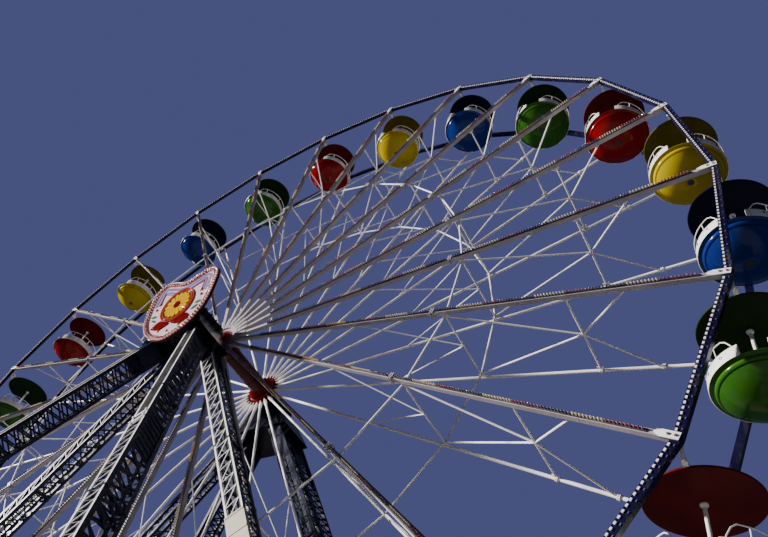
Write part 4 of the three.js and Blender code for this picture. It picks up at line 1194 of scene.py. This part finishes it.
for depth, lamp, count in ((0.062, coral_cap, 84), (0.168, wine_cap, 74)):
    loop = inset(outline, depth)
    travel = np.concatenate([[0], np.cumsum(np.linalg.norm(np.roll(loop, -1, 0) - loop, axis=1))])
    want = np.arange(count) / count * travel[-1]
    closed = np.concatenate([loop, loop[:1]])
    at = np.stack([np.interp(want, travel, closed[:, axis]) for axis in (0, 1)], -1)
    sign_parts.add(lamp, copies(dome, on_sign(at, 0.018), SIGN_RIGHT, SIGN_UP, SIGN_OUT))
# Bands along the top of the field, from shoulder to shoulder
for depth, wide, paint in ((0.34, 0.11, "lilac"), (0.50, 0.09, "lilac"), (0.59, 0.022, "orange")):
    loop = inset(outline, depth)
    run = np.roll(loop, len(loop) // 2, 0)
    run = on_sign(run[run[:, 1] > 0.30], 0.018)
    flat_profile = SQUARE * (wide, 0.012)
    side = np.cross(SIGN_OUT, SIGN_RIGHT) + SIGN_RIGHT * 0.2
    sign_parts.add(enamel[paint], swept(run, flat_profile, side))
# Rosette: two rings round sixteen petals, and a boss in the middle
ROSETTE = np.array((0.0, 0.06))
turn = 2 * math.pi * np.arange(64) / 64
circle = np.stack([np.cos(turn), np.sin(turn)], -1)
petal = mirrored([(0.15, -0.024), (0.47, -0.078), (0.52, -0.055)])
petal.insert(3, (0.54, 0))
for outer, inner in ((0.72, 0.68), (0.64, 0.585)):
    sign_parts.add(enamel["orange"], sign_band(ROSETTE + circle * outer, ROSETTE + circle * inner, 0.01, 0.05))
sign_parts.add(enamel["olive"], sign_plate(ROSETTE + circle * 0.59, 0.008, 0.022))
sign_parts.add(enamel["yellow"], turned_about(petal, ROSETTE, 0.02, 2 * math.pi * np.arange(16) / 16, 0.03))
sign_parts.add(enamel["crimson"], sign_plate(ROSETTE + circle * 0.13, 0.02, 0.07))
# Two fluted fans below, with a green leaf on each side of them
flute = [(0.06, -0.008), (0.42, -0.036), (0.46, 0), (0.42, 0.036), (0.06, 0.008)]
leaf = [(0, 0), (0.09, -0.045), (0.20, -0.04), (0.30, 0), (0.20, 0.04), (0.09, 0.045)]
for hand in (-1, 1):
    fan = turned_about(flute, (hand * 0.46, -0.93), 0.012, np.radians(np.linspace(28, 152, 12)), 0.03)
    sign_parts.add(enamel["crimson"], fan)
    at, a = [(hand * 0.80, -0.42), (hand * 0.86, -0.16)], np.radians(90 - hand * np.array([62, 86]))
    sign_parts.add(enamel["green"], turned_about(leaf, at, 0.012, a, 0.02))
stud = turned([(0, 0), (0.05, 0), (0.05, 0.02), (0.03, 0.035), (0, 0.04)], 12)
for flat, paint in (
    ([(-0.46, -0.93), (0.46, -0.93), (0, -1.05)], "yellow"),
    ([(-0.95, 0.42), (0.95, 0.42), (-1.02, 0.18), (1.02, 0.18)], "orange"),
):
    sign_parts.add(enamel[paint], copies(stud, on_sign(flat, 0.012), SIGN_RIGHT, SIGN_UP, SIGN_OUT))
sign_piece = build("hub_sign_board", sign_parts, [*enamel.values(), coral_cap, wine_cap])
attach(sign_piece, "support")
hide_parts("hub_sign")
refinish(zinc, "sign_bracket")
